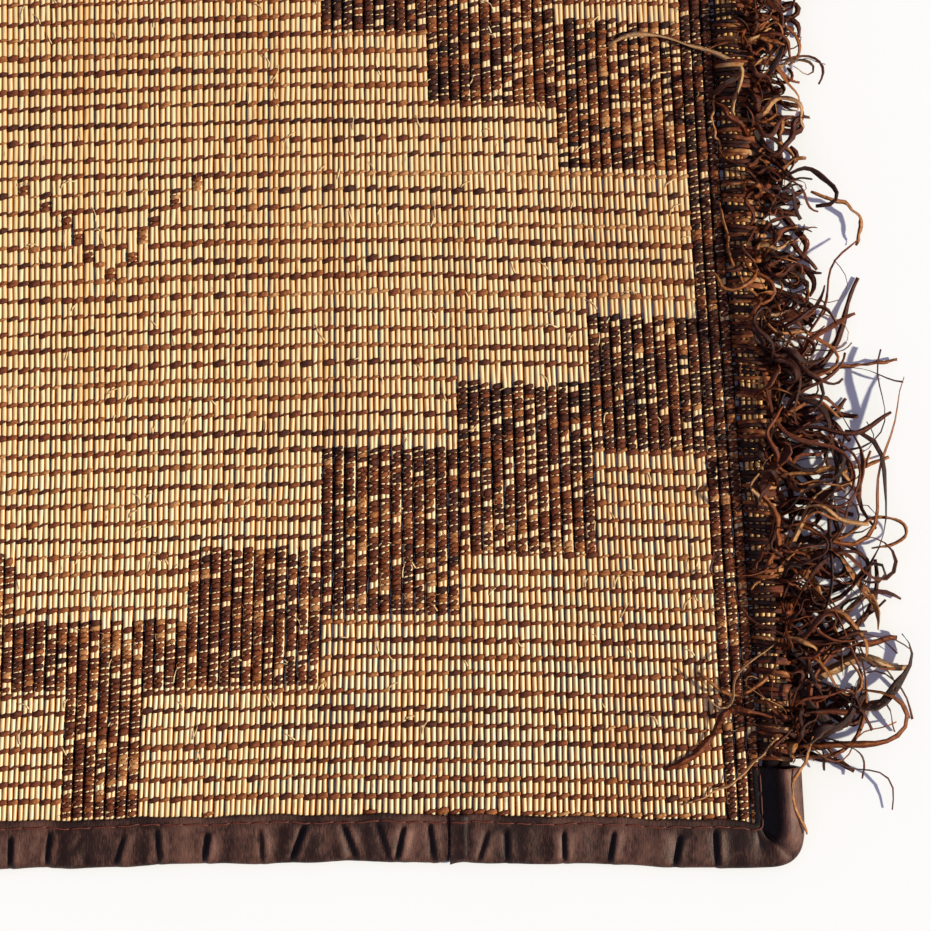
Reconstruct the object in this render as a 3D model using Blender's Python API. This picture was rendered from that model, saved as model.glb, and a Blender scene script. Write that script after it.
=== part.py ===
"""A grass and leather floor mat of the Sahara, lying flat: metres, +Z up, origin under its middle.

Split grass stalks run along Y and are twined in pairs with leather thongs. The thong ends hang out of a
wrapped roll at both sides as a fringe, and a leather binding is folded over the stalk ends.
"""

import math
import random

import bmesh
import bpy

# Weave: pairs of stalks, counted from the middle of the mat
PAIR_PITCH = 0.00544
PAIRS_EACH_SIDE = 57
HALF_WIDTH = PAIRS_EACH_SIDE * PAIR_PITCH
FIELD_REACH = 0.301
BARE_THICKNESS = 0.00325
WRAPPED_THICKNESS = 0.0039
BOUND_THICKNESS = 0.0029
VALLEY_THICKNESS = 0.0023
WRAP_SLOPE = 0.0008
WRAP_REACH = 0.2875
BORDER_PAIRS = 3

# How the hand-made weave departs from a straight one
FAN_START = 0.09
FAN_SLOPE = 0.068
FAN_CURVE = 0.06
SWAY = 0.085
SWAY_START = 0.03
BOW_HEIGHT = 0.0026
BOW_LENGTH = 0.56
BOW_CREST = 0.14

# The mat lifts off the floor on to its folded bindings
BINDING_LIFT = 0.0015
LIFT_START = 0.225
LIFT_RUN = 0.03

# Points along the stalks, fewer where the mat lies flat, and pairs between lines of the underside
ROWS = (-0.301, -0.289, -0.255, -0.2, -0.12, -0.04, 0.12, 0.255, 0.289, 0.301)
FLAT_ROWS = (-0.301, -0.289, -0.255, -0.12, 0.12, 0.255, 0.289, 0.301)
UNDERSIDE_STEP = 12

# Wrapped roll at each side: distance out from the field's edge, height
ROLL_SECTION = (
    (0.0, 0.0),
    (0.0, 0.0026),
    (0.0035, 0.0062),
    (0.009, 0.0076),
    (0.0145, 0.0068),
)
ROLL_UPPER_EDGE = (0.018, 0.0052)
ROLL_LOWER_EDGE = (0.0188, 0.0)
ROLL_REACH = 0.2862
ROLL_STATIONS = 15
ROLL_LUMPS = 0.05
CAP_SQUEEZE = 0.15
CAP_RUN = 0.012
GAP = 0.00035

# Fringe: thong ends in two layers, the lower one on the floor
FRINGE_REACH = 0.2575
STRANDS_A_LAYER = 70
STRAND_WIDTH = 0.0023
STRAND_THICKNESS = 0.0014
STRAND_SEGMENTS = 4
SHORT_STRAND = 0.033
LOWER_STRAND_EXTRA = 0.021
UPPER_STRAND_EXTRA = 0.012
STRAND_CROWN = 0.0125
CROWN_UNEVEN = 0.0045
ROOT_HEIGHT = 0.006
TIP_HEIGHT = 0.005
SWING_DISTANCE = 0.05
SWING_FADE = 0.03
WIDE_SWING = 0.0042
WIDE_SWING_LENGTH = 0.11
TIGHT_SWING = 0.0015
TIGHT_SWING_LENGTH = 0.047
DROOP = 0.004
LONGEST_REACH = 0.4045

# Leather binding: share of the width, height of its top where plain, and where it caps the roll
BINDING_TOP = (
    (0.0, 0.00595, 0.0069),
    (0.38, 0.00595, 0.0098),
    (0.85, 0.0057, 0.0094),
)
NOSE_HEIGHT = (0.003, 0.0048)
NOSE_ROUND = 0.0012
FLAP_START = 0.0015
LEATHER = 0.0011
PUCKER = 0.0007
PUCKER_EASE = (1.0, 0.6, 0.3)
EDGE_WAVER = (-0.0007, 0.0005)
BINDING_INNER = 0.2885
BINDING_WIDTH = 0.0242
CAP_WIDTH = 0.0255
CAP_REACH = 0.2615
CAP_OVER_FIELD = 0.005
CORNER_POWER = 3.2
INNER_CORNER_RADIUS = 0.0008
BINDING_STATION = 0.024
STRAIGHT_INSET = 0.004
CORNER_DEGREES = (0, 18, 36, 50, 64, 80)
WARP_STEPS = 6
LAP_PLACE = 0.1725
LAP_LENGTH = 0.009
LAP_RISE = 0.001

# Wrapped blocks of the stepped pattern: first and last pair from the middle, lower and upper end
RIGHT_BLOCKS = (
    (8, 20, -0.224, -0.154),
    (20, 32, -0.189, -0.104),
    (32, 44, -0.1565, -0.0715),
    (44, 57, -0.104, -0.0365),
    (42, 57, 0.036, 0.111),
    (30, 42, 0.0685, 0.1565),
    (20, 30, 0.1035, 0.189),
    (8, 20, 0.154, 0.224),
)
MIDDLE_BLOCKS = (
    (-8, 8, -0.224, -0.189),
    (-8, 8, 0.189, 0.224),
    (-3, 4, -0.289, -0.224),
    (-3, 4, 0.224, 0.289),
)
DOT_COUNT_EACH_ARM = 5
DOT_HEIGHT = 0.0065
DOT_ROW_STEP = 0.0086
DOT_APEX = -0.0155

# Soft ridges along the stalks: place across, lower and upper end, height, half width
RIDGES = (
    (0.125, -0.185, -0.055, 0.003, 0.014),
    (0.232, -0.285, -0.13, 0.003, 0.013),
    (-0.2, 0.02, 0.25, 0.0025, 0.016),
)

# Colours of the finished surfaces, linear red, green and blue
GRASS = (0.58, 0.37, 0.14, 1.0)
FRINGE_LEATHER = (0.10, 0.036, 0.014, 1.0)
BINDING_LEATHER = (0.055, 0.026, 0.018, 1.0)


def smooth(share):
    """Rises softly from 0 to 1 while share goes from 0 to 1."""
    share = min(max(share, 0.0), 1.0)
    return share * share * (3.0 - 2.0 * share)


def warp(across, along):
    """Place on the floor of a point of the straight weave, once the stalks fan out, sway and bow."""
    side = 1.0 if across > 0.0 else -1.0
    share = min(max((abs(across) - FAN_START) / (HALF_WIDTH - FAN_START), 0.0), 1.0)
    fan = side * share * (FAN_CURVE * along * along - FAN_SLOPE * along)
    sway = SWAY * max(0.0, -along - SWAY_START) ** 2
    bow = BOW_HEIGHT * math.cos(math.tau * (across - BOW_CREST) / BOW_LENGTH)
    return across + fan - sway, along + bow


def binding_rise(along):
    """Height of the underside where the mat climbs on to the folded binding."""
    return BINDING_LIFT * smooth((abs(along) - LIFT_START) / LIFT_RUN)


def lift(across, along):
    """Height of the underside of the weave: its soft ridges, and its rise on to the bindings."""
    height = binding_rise(along)
    for place, low, high, rise, half_width in RIDGES:
        share = (along - low) / (high - low)
        if 0.0 < share < 1.0:
            window = 0.5 - 0.5 * math.cos(math.tau * share)
            height += rise * window * math.exp(-(((across - place) / half_width) ** 2))
    return height


def blocks():
    """All wrapped areas as (first pair, last pair, lower end, upper end)."""
    found = list(MIDDLE_BLOCKS)
    for first, last, low, high in RIGHT_BLOCKS:
        found.append((first, last, low, high))
        found.append((-last, -first, low, high))
    for arm in range(-DOT_COUNT_EACH_ARM, DOT_COUNT_EACH_ARM + 1):
        pair = round(1.5 * arm)
        low = DOT_APEX + abs(arm) * DOT_ROW_STEP - DOT_HEIGHT / 2
        found.append((pair, pair + 1, low, low + DOT_HEIGHT))
    return found


def wrapped_stretches(pair, found):
    """Lower and upper ends of the stretches of one pair of stalks that are wrapped in leather."""
    if abs(pair + 0.5) > PAIRS_EACH_SIDE - BORDER_PAIRS:
        return [(-WRAP_REACH, WRAP_REACH)]
    stretches = []
    for first, last, low, high in found:
        if first <= pair < last:
            stretches.append((max(low, -WRAP_REACH), min(high, WRAP_REACH)))
    stretches.sort()
    joined = []
    for low, high in stretches:
        if joined and low <= joined[-1][1]:
            joined[-1] = (joined[-1][0], max(high, joined[-1][1]))
        else:
            joined.append((low, high))
    return joined


def bare_thickness(along):
    """Thickness over a bare crest, pressed flatter towards the stalk ends under the binding."""
    share = max(0.0, abs(along) - LIFT_START - LIFT_RUN) / (FIELD_REACH - LIFT_START - LIFT_RUN)
    return BARE_THICKNESS + (BOUND_THICKNESS - BARE_THICKNESS) * share


def crest_profile(pair, found):
    """(place along, thickness) of the crest of one pair, sloping shortly at the ends of a wrapped stretch."""
    points = []
    stretches = wrapped_stretches(pair, found)
    for low, high in stretches:
        points += [(low, bare_thickness(low)), (low + WRAP_SLOPE, WRAPPED_THICKNESS)]
        points += [(high - WRAP_SLOPE, WRAPPED_THICKNESS), (high, bare_thickness(high))]
    for row in rows_at((pair + 0.5) * PAIR_PITCH):
        if all(abs(row - place) > 2 * WRAP_SLOPE for place, _ in points):
            wrapped = any(low < row < high for low, high in stretches)
            points.append((row, WRAPPED_THICKNESS if wrapped else bare_thickness(row)))
    return sorted(points)


def rows_at(across):
    """Places along the stalks that need a point: more beside a ridge and at the two side edges."""
    at_edge = abs(across) > HALF_WIDTH - PAIR_PITCH
    at_ridge = any(abs(across - place) < 2.3 * half_width for place, _, _, _, half_width in RIDGES)
    return ROWS if at_edge or at_ridge else FLAT_ROWS


def ladder(mesh, left, right):
    """Fills the strip between two chains of (place, vertex), stepping along the one behind."""
    i = j = 0
    while i + 1 < len(left) or j + 1 < len(right):
        ahead = i + 1 < len(left) and (j + 1 == len(right) or left[i + 1][0] <= right[j + 1][0])
        if ahead:
            mesh.faces.new((left[i][1], left[i + 1][1], right[j][1]))
            i += 1
        else:
            mesh.faces.new((left[i][1], right[j + 1][1], right[j][1]))
            j += 1


def bridge(mesh, ring, points):
    """Adds a ring of new points, joins it to the last ring with quads and returns it."""
    new = [mesh.verts.new(point) for point in points]
    for k in range(len(ring)):
        n = (k + 1) % len(ring)
        mesh.faces.new((ring[k], ring[n], new[n], new[k]))
    return new


def finish(name, mesh, colour, roughness):
    """Turns the built mesh into an object with faces outward and its own material."""
    bmesh.ops.recalc_face_normals(mesh, faces=mesh.faces)
    data = bpy.data.meshes.new(name)
    mesh.to_mesh(data)
    mesh.free()
    material = bpy.data.materials.new(name)
    material.use_nodes = True
    shader = material.node_tree.nodes["Principled BSDF"]
    shader.inputs["Base Color"].default_value = colour
    shader.inputs["Roughness"].default_value = roughness
    shader.inputs["Metallic"].default_value = 0.0
    data.materials.append(material)
    piece = bpy.data.objects.new(name, data)
    bpy.context.scene.collection.objects.link(piece)
    return piece


def top_chain(mesh, line, found):
    """One line of points along the top: a valley between two pairs if line is even, else a crest."""
    across = (line / 2 - PAIRS_EACH_SIDE) * PAIR_PITCH
    if line % 2:
        profile = crest_profile(line // 2 - PAIRS_EACH_SIDE, found)
    else:
        profile = [(row, VALLEY_THICKNESS) for row in rows_at(across)]
    chain = []
    for along, thickness in profile:
        x, y = warp(across, along)
        chain.append((along, mesh.verts.new((x, y, lift(across, along) + thickness))))
    return chain


def underside_lines():
    """Pair counts, from the left edge, at which the underside has a line of points."""
    lines = set(range(0, 2 * PAIRS_EACH_SIDE, UNDERSIDE_STEP)) | {2 * PAIRS_EACH_SIDE}
    for place, _, _, _, half_width in RIDGES:
        for step in (-2, -1, 0, 1, 2):
            lines.add(round((place + step * half_width) / PAIR_PITCH) + PAIRS_EACH_SIDE)
    return sorted(lines)


def underside_chain(mesh, line):
    """One line of points along the underside."""
    across = (line - PAIRS_EACH_SIDE) * PAIR_PITCH
    chain = []
    for along in rows_at(across):
        x, y = warp(across, along)
        chain.append((along, mesh.verts.new((x, y, lift(across, along)))))
    return chain


def make_field():
    """The weave: a closed sheet with a rib for each pair of stalks, raised where leather wraps them."""
    mesh = bmesh.new()
    found = blocks()
    top = [top_chain(mesh, line, found) for line in range(4 * PAIRS_EACH_SIDE + 1)]
    lines = underside_lines()
    bottom = [underside_chain(mesh, line) for line in lines]
    for left, right in zip(top, top[1:]):
        ladder(mesh, left, right)
    for left, right in zip(bottom, bottom[1:]):
        ladder(mesh, left, right)
    ladder(mesh, top[0], bottom[0])
    ladder(mesh, top[-1], bottom[-1])
    for end in (0, -1):
        upper = [(line / 2, chain[end][1]) for line, chain in enumerate(top)]
        lower = [(line, chain[end][1]) for line, chain in zip(lines, bottom)]
        ladder(mesh, upper, lower)
    return finish("mat_field", mesh, GRASS, 0.55)


def roll_point(side, out, height, along):
    """A point of the wrapped roll, lumpy along its length and drawn in under the caps of the binding."""
    x, y = warp(side * HALF_WIDTH, along)
    lumps = 1.0 + ROLL_LUMPS * math.sin(math.tau * along / 0.083 + side)
    lumps += 0.6 * ROLL_LUMPS * math.sin(math.tau * along / 0.037)
    squeeze = smooth((abs(along) - FRINGE_REACH + CAP_RUN) / CAP_RUN)
    lumps += (1.0 - CAP_SQUEEZE - lumps) * squeeze
    place = x + side * (GAP + out * lumps)
    return place, y, height * lumps + binding_rise(along)


def roll_chain(mesh, side, out, height, places):
    """A line of points along the roll."""
    return [(along, mesh.verts.new(roll_point(side, out, height, along))) for along in places]


def even_places(low, high, count):
    """Evenly spaced places, both ends included."""
    return [low + (high - low) * k / (count - 1) for k in range(count)]


def strand_length(along, side):
    """How far the thong ends reach here: longest in the lower half, shortest just above the middle."""
    lower = smooth((-along - 0.03) / 0.05)
    upper = smooth((along - 0.11) / 0.08)
    length = SHORT_STRAND + LOWER_STRAND_EXTRA * lower + UPPER_STRAND_EXTRA * upper
    ragged = 0.16 * math.sin(1900.0 * along + side) + 0.1 * math.sin(5300.0 * along)
    return length * (1.0 + ragged)


def sideways(out, along, layer):
    """How far a strand has swung along the edge at a distance out; neighbours swing alike, never crossing."""
    far = out / SWING_DISTANCE
    wide = math.sin(math.tau * along / WIDE_SWING_LENGTH + 2.1 * layer)
    tight = math.sin(math.tau * along / TIGHT_SWING_LENGTH + 1.3 + 2.6 * far + 3.0 * layer)
    swing = WIDE_SWING * wide * far * far + TIGHT_SWING * tight * far - DROOP * far * far
    return swing * smooth((FRINGE_REACH - abs(along)) / SWING_FADE)


def strand_height(share, along, layer):
    """Height of a strand's middle line: on the floor in the lower layer, arching in the upper."""
    if layer == 0:
        return 0.0
    crown = STRAND_CROWN + CROWN_UNEVEN * math.sin(2300.0 * along)
    fall = 0.55 + 0.35 * math.sin(3100.0 * along)
    if share < 0.5:
        return ROOT_HEIGHT + (crown - ROOT_HEIGHT) * smooth(2.0 * share)
    return crown - (crown - TIP_HEIGHT) * fall * smooth(2.0 * share - 1.0)


def strand_section(side, along, layer, share, length, taper):
    """Three corners of a strand: flat side down in the lower layer, flat side up in the upper one."""
    def middle(at):
        x, y, _ = roll_point(side, ROLL_LOWER_EDGE[0], 0.0, along)
        return x + side * length * at, y + sideways(length * at, along, layer)

    x, y = middle(share)
    back_x, back_y = middle(share - 0.05)
    run = math.hypot(x - back_x, y - back_y) or 1.0
    normal_x = -side * (y - back_y) / run
    normal_y = abs(x - back_x) / run
    half = STRAND_WIDTH * taper / 2
    z = strand_height(share, along, layer) + binding_rise(along) * (1.0 - share) * layer
    flat = z if layer == 0 else z + STRAND_THICKNESS / 2
    tip = z + STRAND_THICKNESS if layer == 0 else z - STRAND_THICKNESS / 2
    return (
        (x - normal_x * half, y - normal_y * half, flat),
        (x + normal_x * half, y + normal_y * half, flat),
        (x, y, tip),
    )


def grow_strand(mesh, side, along, layer, root):
    """A three-sided thong end that grows from three corners on the roll's outer wall."""
    foot = abs(roll_point(side, ROLL_LOWER_EDGE[0], 0.0, along)[0])
    length = min(strand_length(along, side + 2 * layer), LONGEST_REACH - foot)
    ring = root
    for k in range(1, STRAND_SEGMENTS + 1):
        share = (k / STRAND_SEGMENTS) ** 1.25
        taper = 1.0 if k < STRAND_SEGMENTS else 0.7
        ring = bridge(mesh, ring, strand_section(side, along, layer, share, length, taper))
    mesh.faces.new(ring)


def make_fringe(name, side):
    """The wrapped roll of one side with all its thong ends."""
    mesh = bmesh.new()
    squeezed = FRINGE_REACH - CAP_RUN
    places = even_places(-squeezed, squeezed, ROLL_STATIONS)
    places = [-ROLL_REACH, -FRINGE_REACH] + places + [FRINGE_REACH, ROLL_REACH]
    inner = [-ROLL_REACH] + [row for row in ROWS if abs(row) < ROLL_REACH] + [ROLL_REACH]
    chains = []
    for out, height in ROLL_SECTION:
        chains.append(roll_chain(mesh, side, out, height, places if out else inner))
    pitch = 2 * FRINGE_REACH / (STRANDS_A_LAYER + 0.5)
    lower = [-ROLL_REACH]
    lower += [-FRINGE_REACH + pitch * k for k in range(STRANDS_A_LAYER + 1)]
    lower += [ROLL_REACH]
    upper = [-ROLL_REACH]
    upper += [-FRINGE_REACH + pitch * (k + 0.5) for k in range(STRANDS_A_LAYER + 1)]
    upper += [ROLL_REACH]
    upper_chain = roll_chain(mesh, side, *ROLL_UPPER_EDGE, upper)
    lower_chain = roll_chain(mesh, side, *ROLL_LOWER_EDGE, lower)
    for left, right in zip(chains, chains[1:]):
        ladder(mesh, left, right)
    ladder(mesh, chains[-1], upper_chain)
    ladder(mesh, lower_chain, chains[0])
    for k in range(1, STRANDS_A_LAYER + 1):
        first, second = lower_chain[k], lower_chain[k + 1]
        root = (first[1], second[1], upper_chain[k][1])
        grow_strand(mesh, side, (first[0] + second[0]) / 2, 0, root)
        first, second = upper_chain[k], upper_chain[k + 1]
        root = (first[1], second[1], lower_chain[k + 1][1])
        grow_strand(mesh, side, (first[0] + second[0]) / 2, 1, root)
    mesh.faces.new((lower_chain[0][1], lower_chain[1][1], upper_chain[1][1], upper_chain[0][1]))
    ends = (lower_chain[-2][1], lower_chain[-1][1], upper_chain[-1][1], upper_chain[-2][1])
    mesh.faces.new(ends)
    for end in (0, -1):
        outline = [chain[end][1] for chain in chains]
        mesh.faces.new(outline + [upper_chain[end][1], lower_chain[end][1]])
    return finish(name, mesh, FRINGE_LEATHER, 0.6)


def binding_section(width, cap, extra, pucker):
    """Folded leather seen end on, as (outwards, height); cap goes from 0, plain, to 1, over the roll."""
    outer = []
    inner = []
    for (share, plain, capped), ease in zip(BINDING_TOP, PUCKER_EASE):
        height = plain + (capped - plain) * cap
        outer.append((share * width, height + extra + ease * pucker))
        inner.append((0.97 * share * width, height - LEATHER))
    nose = NOSE_HEIGHT[0] + (NOSE_HEIGHT[1] - NOSE_HEIGHT[0]) * cap
    fold = [(width, nose), (width - NOSE_ROUND, 0.0), (FLAP_START, 0.0), (FLAP_START, LEATHER)]
    fold += [(width - LEATHER - NOSE_ROUND, LEATHER), (width - 1.3 * LEATHER, nose)]
    return outer + fold + inner[::-1]


def binding_ring(origin, direction, section):
    """The section set up at a place on the floor, facing a direction."""
    return [
        (origin[0] + direction[0] * out, origin[1] + direction[1] * out, height)
        for out, height in section
    ]


def straight_rings(end, first, last, noise, lap=False):
    """Rings along the straight edge, from one place across to another, with uneven puckers."""
    count = max(2, round(abs(last - first) / BINDING_STATION) + 1)
    places = even_places(first, last, count)
    if lap:
        places = sorted(places + [first + LAP_LENGTH, first + LAP_LENGTH + LEATHER])
    rings = []
    for place in places:
        extra = LAP_RISE if lap and place < first + LAP_LENGTH + LEATHER / 2 else 0.0
        width = BINDING_WIDTH + noise.uniform(*EDGE_WAVER)
        section = binding_section(width, 0.0, extra, noise.uniform(0.0, PUCKER))
        rings.append(binding_ring(warp_across(place, end), (0.0, end), section))
    return rings


def warp_across(place, end):
    """Point of the binding's inner edge that lies this far across the finished mat."""
    along = end * BINDING_INNER
    across = place
    for _ in range(WARP_STEPS):
        across += place - warp(across, along)[0]
    return place, warp(across, along)[1]


def corner_centre(side, end):
    """Inner corner of the cap, a little way in over the edge of the weave."""
    x, y = warp(side * HALF_WIDTH, end * BINDING_INNER)
    return x - side * CAP_OVER_FIELD, y


def corner_rings(side, end):
    """Rings round the corner and up the side, from the straight edge outwards to the end of the cap."""
    centre = corner_centre(side, end)
    rings = []
    for degrees in CORNER_DEGREES:
        angle = math.radians(degrees)
        direction = (side * math.sin(angle), end * math.cos(angle))
        squared = abs(math.sin(angle) / CAP_WIDTH) ** CORNER_POWER
        squared += abs(math.cos(angle) / BINDING_WIDTH) ** CORNER_POWER
        reach = squared ** (-1.0 / CORNER_POWER)
        origin = [centre[k] + INNER_CORNER_RADIUS * direction[k] for k in (0, 1)]
        section = binding_section(reach - INNER_CORNER_RADIUS, smooth(degrees / 90), 0.0, 0.0)
        rings.append(binding_ring(origin, direction, section))
    for share in (0.0, 0.5, 1.0):
        start = BINDING_INNER - NOSE_ROUND
        along = start + (CAP_REACH - start) * share
        x, y = warp(side * HALF_WIDTH, end * along)
        origin = (x - side * (CAP_OVER_FIELD - INNER_CORNER_RADIUS), y)
        section = binding_section(CAP_WIDTH - INNER_CORNER_RADIUS, 1.0, 0.0, 0.0)
        rings.append(binding_ring(origin, (side, 0.0), section))
    return rings


def make_binding(name, rings):
    """Skins the rings into one closed strip of folded leather."""
    mesh = bmesh.new()
    ring = [mesh.verts.new(point) for point in rings[0]]
    mesh.faces.new(ring)
    for points in rings[1:]:
        ring = bridge(mesh, ring, points)
    mesh.faces.new(ring)
    return finish(name, mesh, BINDING_LEATHER, 0.65)


def make_bindings():
    """Two strips that meet in a lap along the lower edge, and one along the upper edge."""
    noise = random.Random(7)
    left = corner_centre(-1, -1)[0] + STRAIGHT_INSET
    right = corner_centre(1, -1)[0] - STRAIGHT_INSET
    rings = corner_rings(-1, -1)[::-1] + straight_rings(-1, left, LAP_PLACE - GAP, noise)
    make_binding("binding_lower_left", rings)
    rings = straight_rings(-1, LAP_PLACE, right, noise, lap=True) + corner_rings(1, -1)
    make_binding("binding_lower_right", rings)
    left = corner_centre(-1, 1)[0] + STRAIGHT_INSET
    right = corner_centre(1, 1)[0] - STRAIGHT_INSET
    rings = corner_rings(-1, 1)[::-1] + straight_rings(1, left, right, noise) + corner_rings(1, 1)
    make_binding("binding_upper", rings)


def clear_scene():
    """Removes every object of the open file."""
    for piece in list(bpy.data.objects):
        bpy.data.objects.remove(piece, do_unlink=True)


def main():
    clear_scene()
    make_field()
    make_fringe("fringe_right", 1)
    make_fringe("fringe_left", -1)
    make_bindings()


main()
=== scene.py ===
"""Looks of a small grass and leather floor mat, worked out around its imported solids.

Split grass stalks lie side by side and are twined in pairs with narrow leather thongs. Leather wraps make the
stepped pattern, the thong ends leave a wrapped roll at both sides as a fringe, and a folded leather binding
covers the stalk ends. Lengths are in metres, +X runs across the stalks and +Y along them.
"""

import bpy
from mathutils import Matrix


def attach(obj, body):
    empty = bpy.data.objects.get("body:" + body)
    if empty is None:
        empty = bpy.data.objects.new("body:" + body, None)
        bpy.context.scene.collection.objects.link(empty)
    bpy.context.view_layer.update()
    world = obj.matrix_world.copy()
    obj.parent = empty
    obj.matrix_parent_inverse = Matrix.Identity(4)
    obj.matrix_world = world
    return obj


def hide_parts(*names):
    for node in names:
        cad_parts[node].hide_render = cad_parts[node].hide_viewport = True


bl_info = {
    "name": "Grass and leather mat",
    "version": (1, 0, 0),
    "blender": (4, 5, 0),
    "location": "3D View > Sidebar > Mat",
    "description": "Lays the stalks, twines and wraps them, rolls and fringes the sides and binds the ends",
    "category": "Object",
}

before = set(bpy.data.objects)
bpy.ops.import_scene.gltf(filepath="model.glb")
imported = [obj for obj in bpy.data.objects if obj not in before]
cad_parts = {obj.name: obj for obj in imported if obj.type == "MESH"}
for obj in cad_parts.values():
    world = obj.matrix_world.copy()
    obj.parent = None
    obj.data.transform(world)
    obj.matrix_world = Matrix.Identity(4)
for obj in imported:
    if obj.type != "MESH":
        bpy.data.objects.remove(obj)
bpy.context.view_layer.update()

import math

import bpy
import numpy as np
from bpy.props import FloatProperty, FloatVectorProperty, IntProperty, PointerProperty

TAU = 2.0 * math.pi
MM = 0.001
RIGHT = (1.0, 0.0, 0.0)
UP = (0.0, 0.0, 1.0)

# The weave as the solids have it: pairs of stalks counted from the middle of the mat
PAIR_PITCH = 0.00544
PAIRS_EACH_SIDE = 57
HALF_WIDTH = PAIRS_EACH_SIDE * PAIR_PITCH
FIELD_REACH = 0.301
WRAP_REACH = 0.2875
BORDER_PAIRS = 3
FAN_START = 0.09
FAN_SLOPE = 0.068
FAN_CURVE = 0.06
SWAY = 0.085
SWAY_START = 0.03
BOW_HEIGHT = 0.0026
BOW_LENGTH = 0.56
BOW_CREST = 0.14
BINDING_LIFT = 0.0015
LIFT_START = 0.225
LIFT_RUN = 0.03

# Soft ridges along the stalks: place across, lower and upper end, height, half width
RIDGES = (
    (0.125, -0.185, -0.055, 0.003, 0.014),
    (0.232, -0.285, -0.13, 0.003, 0.013),
    (-0.2, 0.02, 0.25, 0.0025, 0.016),
)

# Wrapped blocks of the stepped pattern: first and last pair from the middle, lower and upper end
RIGHT_BLOCKS = (
    (8, 20, -0.224, -0.154),
    (20, 32, -0.189, -0.104),
    (32, 44, -0.1565, -0.0715),
    (44, 57, -0.104, -0.0365),
    (42, 57, 0.036, 0.111),
    (30, 42, 0.0685, 0.1565),
    (20, 30, 0.1035, 0.189),
    (8, 20, 0.154, 0.224),
)
MIDDLE_BLOCKS = (
    (-8, 8, -0.224, -0.189),
    (-8, 8, 0.189, 0.224),
    (-3, 4, -0.289, -0.224),
    (-3, 4, 0.224, 0.289),
)
DOT_COUNT_EACH_ARM = 5
DOT_HEIGHT = 0.0065
DOT_ROW_STEP = 0.0086
DOT_APEX = -0.0155
DOT_LIMIT = 0.008

# Rows of twining thongs
ROW_OFFSET = -0.0022
ROWS_EACH_SIDE = 33

# Wrapped roll at each side, seen end on: distance out from the field's edge, height
ROLL_OUT = (0.0, 0.0, 0.0035, 0.009, 0.0145, 0.018, 0.0188)
ROLL_HEIGHT = (0.0, 0.0026, 0.0062, 0.0076, 0.0068, 0.0052, 0.0)
ROLL_REACH = 0.262
ROLL_LUMPS = 0.05
ROLL_RISE = 1.13
FRINGE_REACH = 0.2575
ROLL_MIDDLE = 0.0094
ROLL_STATIONS = 70
ROLL_WRAPS = 206
CAP_SQUEEZE = 0.15
CAP_RUN = 0.012
GAP = 0.00035
SHORT_STRAND = 0.033
LOWER_STRAND_EXTRA = 0.021
UPPER_STRAND_EXTRA = 0.012
STRAND_STATIONS = 18
STRAND_LIMIT = 0.292
LOW_STRANDS = 0.22
BACK_STRANDS = 0.1

# Folded binding: inner edge, width on the mat and over the roll, and how it turns the corner
BINDING_INNER = 0.2885
BINDING_WIDTH = 0.0242
CAP_WIDTH = 0.0255
CAP_REACH = 0.2615
CAP_OVER_FIELD = 0.005
CAP_OVERLAP = 0.0012
CAP_STATIONS = 14
CORNER_STATIONS = 27
CORNER_POWER = 3.2
INNER_CORNER_RADIUS = 0.0008
STRAIGHT_INSET = 0.004
WARP_STEPS = 6
UPPER_STEP = 0.0022
LONG_STEP = 0.0011
SHORT_STEP = 0.0009
LAP_PLACE = 0.1725
LAP_LENGTH = 0.009
LAP_RISE = 0.001
LEATHER = 0.0011

# The photograph: 931 pixels each way, half a millimetre a pixel, seen from straight above
VIEW_MIDDLE = (0.18025, -0.11175)
VIEW_WIDTH = 0.4655
LENS = 85.0
SENSOR = 36.0
MAT_TOP = 0.003
FLOOR_REACH = 6.0


def linear(code):
    """Linear red, green, blue and alpha of an sRGB hex colour."""
    parts = [int(code[k:k + 2], 16) / 255.0 for k in (0, 2, 4)]
    return tuple(c / 12.92 if c <= 0.04045 else ((c + 0.055) / 1.055) ** 2.4 for c in parts) + (1.0,)


def colour(name, description, code):
    """A colour property whose default is a hex colour."""
    return FloatVectorProperty(
        name=name, description=description, subtype="COLOR", size=4, min=0.0, max=1.0, default=linear(code)
    )


def length(name, description, default):
    """A length property in metres."""
    return FloatProperty(
        name=name, description=description, default=default, min=0.0, precision=5, unit="LENGTH"
    )


def angle(name, description, degrees):
    """An angle property, from degrees."""
    return FloatProperty(name=name, description=description, default=math.radians(degrees), subtype="ANGLE")


def strength(name, description, default):
    """A property for how strong a light is."""
    return FloatProperty(name=name, description=description, default=default, min=0.0)


class MatWeave(bpy.types.PropertyGroup):
    """Sizes of the stalks, the twining and the wraps."""

    stalk_width: length("Stalk width", "Width of one split stalk", 0.00236)
    stalk_height: length("Stalk height", "Thickness of one split stalk", 0.0024)
    stalk_spacing: length("Stalk spacing", "Distance between the two stalks of a pair", 0.0026)
    row_pitch: length("Row pitch", "Distance between rows of twining", 0.00865)
    thong_width: length("Thong width", "Width of a twining thong", 0.0027)
    thong_slant: length("Thong slant", "How far a thong climbs across one pair", 0.0017)
    wrap_short: length("Shortest wrap", "Least length of a wrap along the pair", 0.0019)
    wrap_long: length("Longest wrap", "Greatest length of a wrap along the pair", 0.0028)
    # The crown colour is painted paler and the side colour browner, partly as the grass's own colour and partly
    # as light and shade; the gap colour is painted shade
    grass: colour("Grass", "Rubbed crown of dry split grass", "F6DFAC")
    grass_side_and_shade: colour("Grass, sides", "Sides of the stalks", "CE8C44")
    grass_aged: colour("Grass, aged", "Older and browner grass", "DCA860")
    grass_gap_shade: colour("Grass, gaps", "Dust and dark where two stalks touch", "2C1408")
    grass_mark: colour("Grass marks", "Brown marks and bruises on the stalks", "8A5424")


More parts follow.
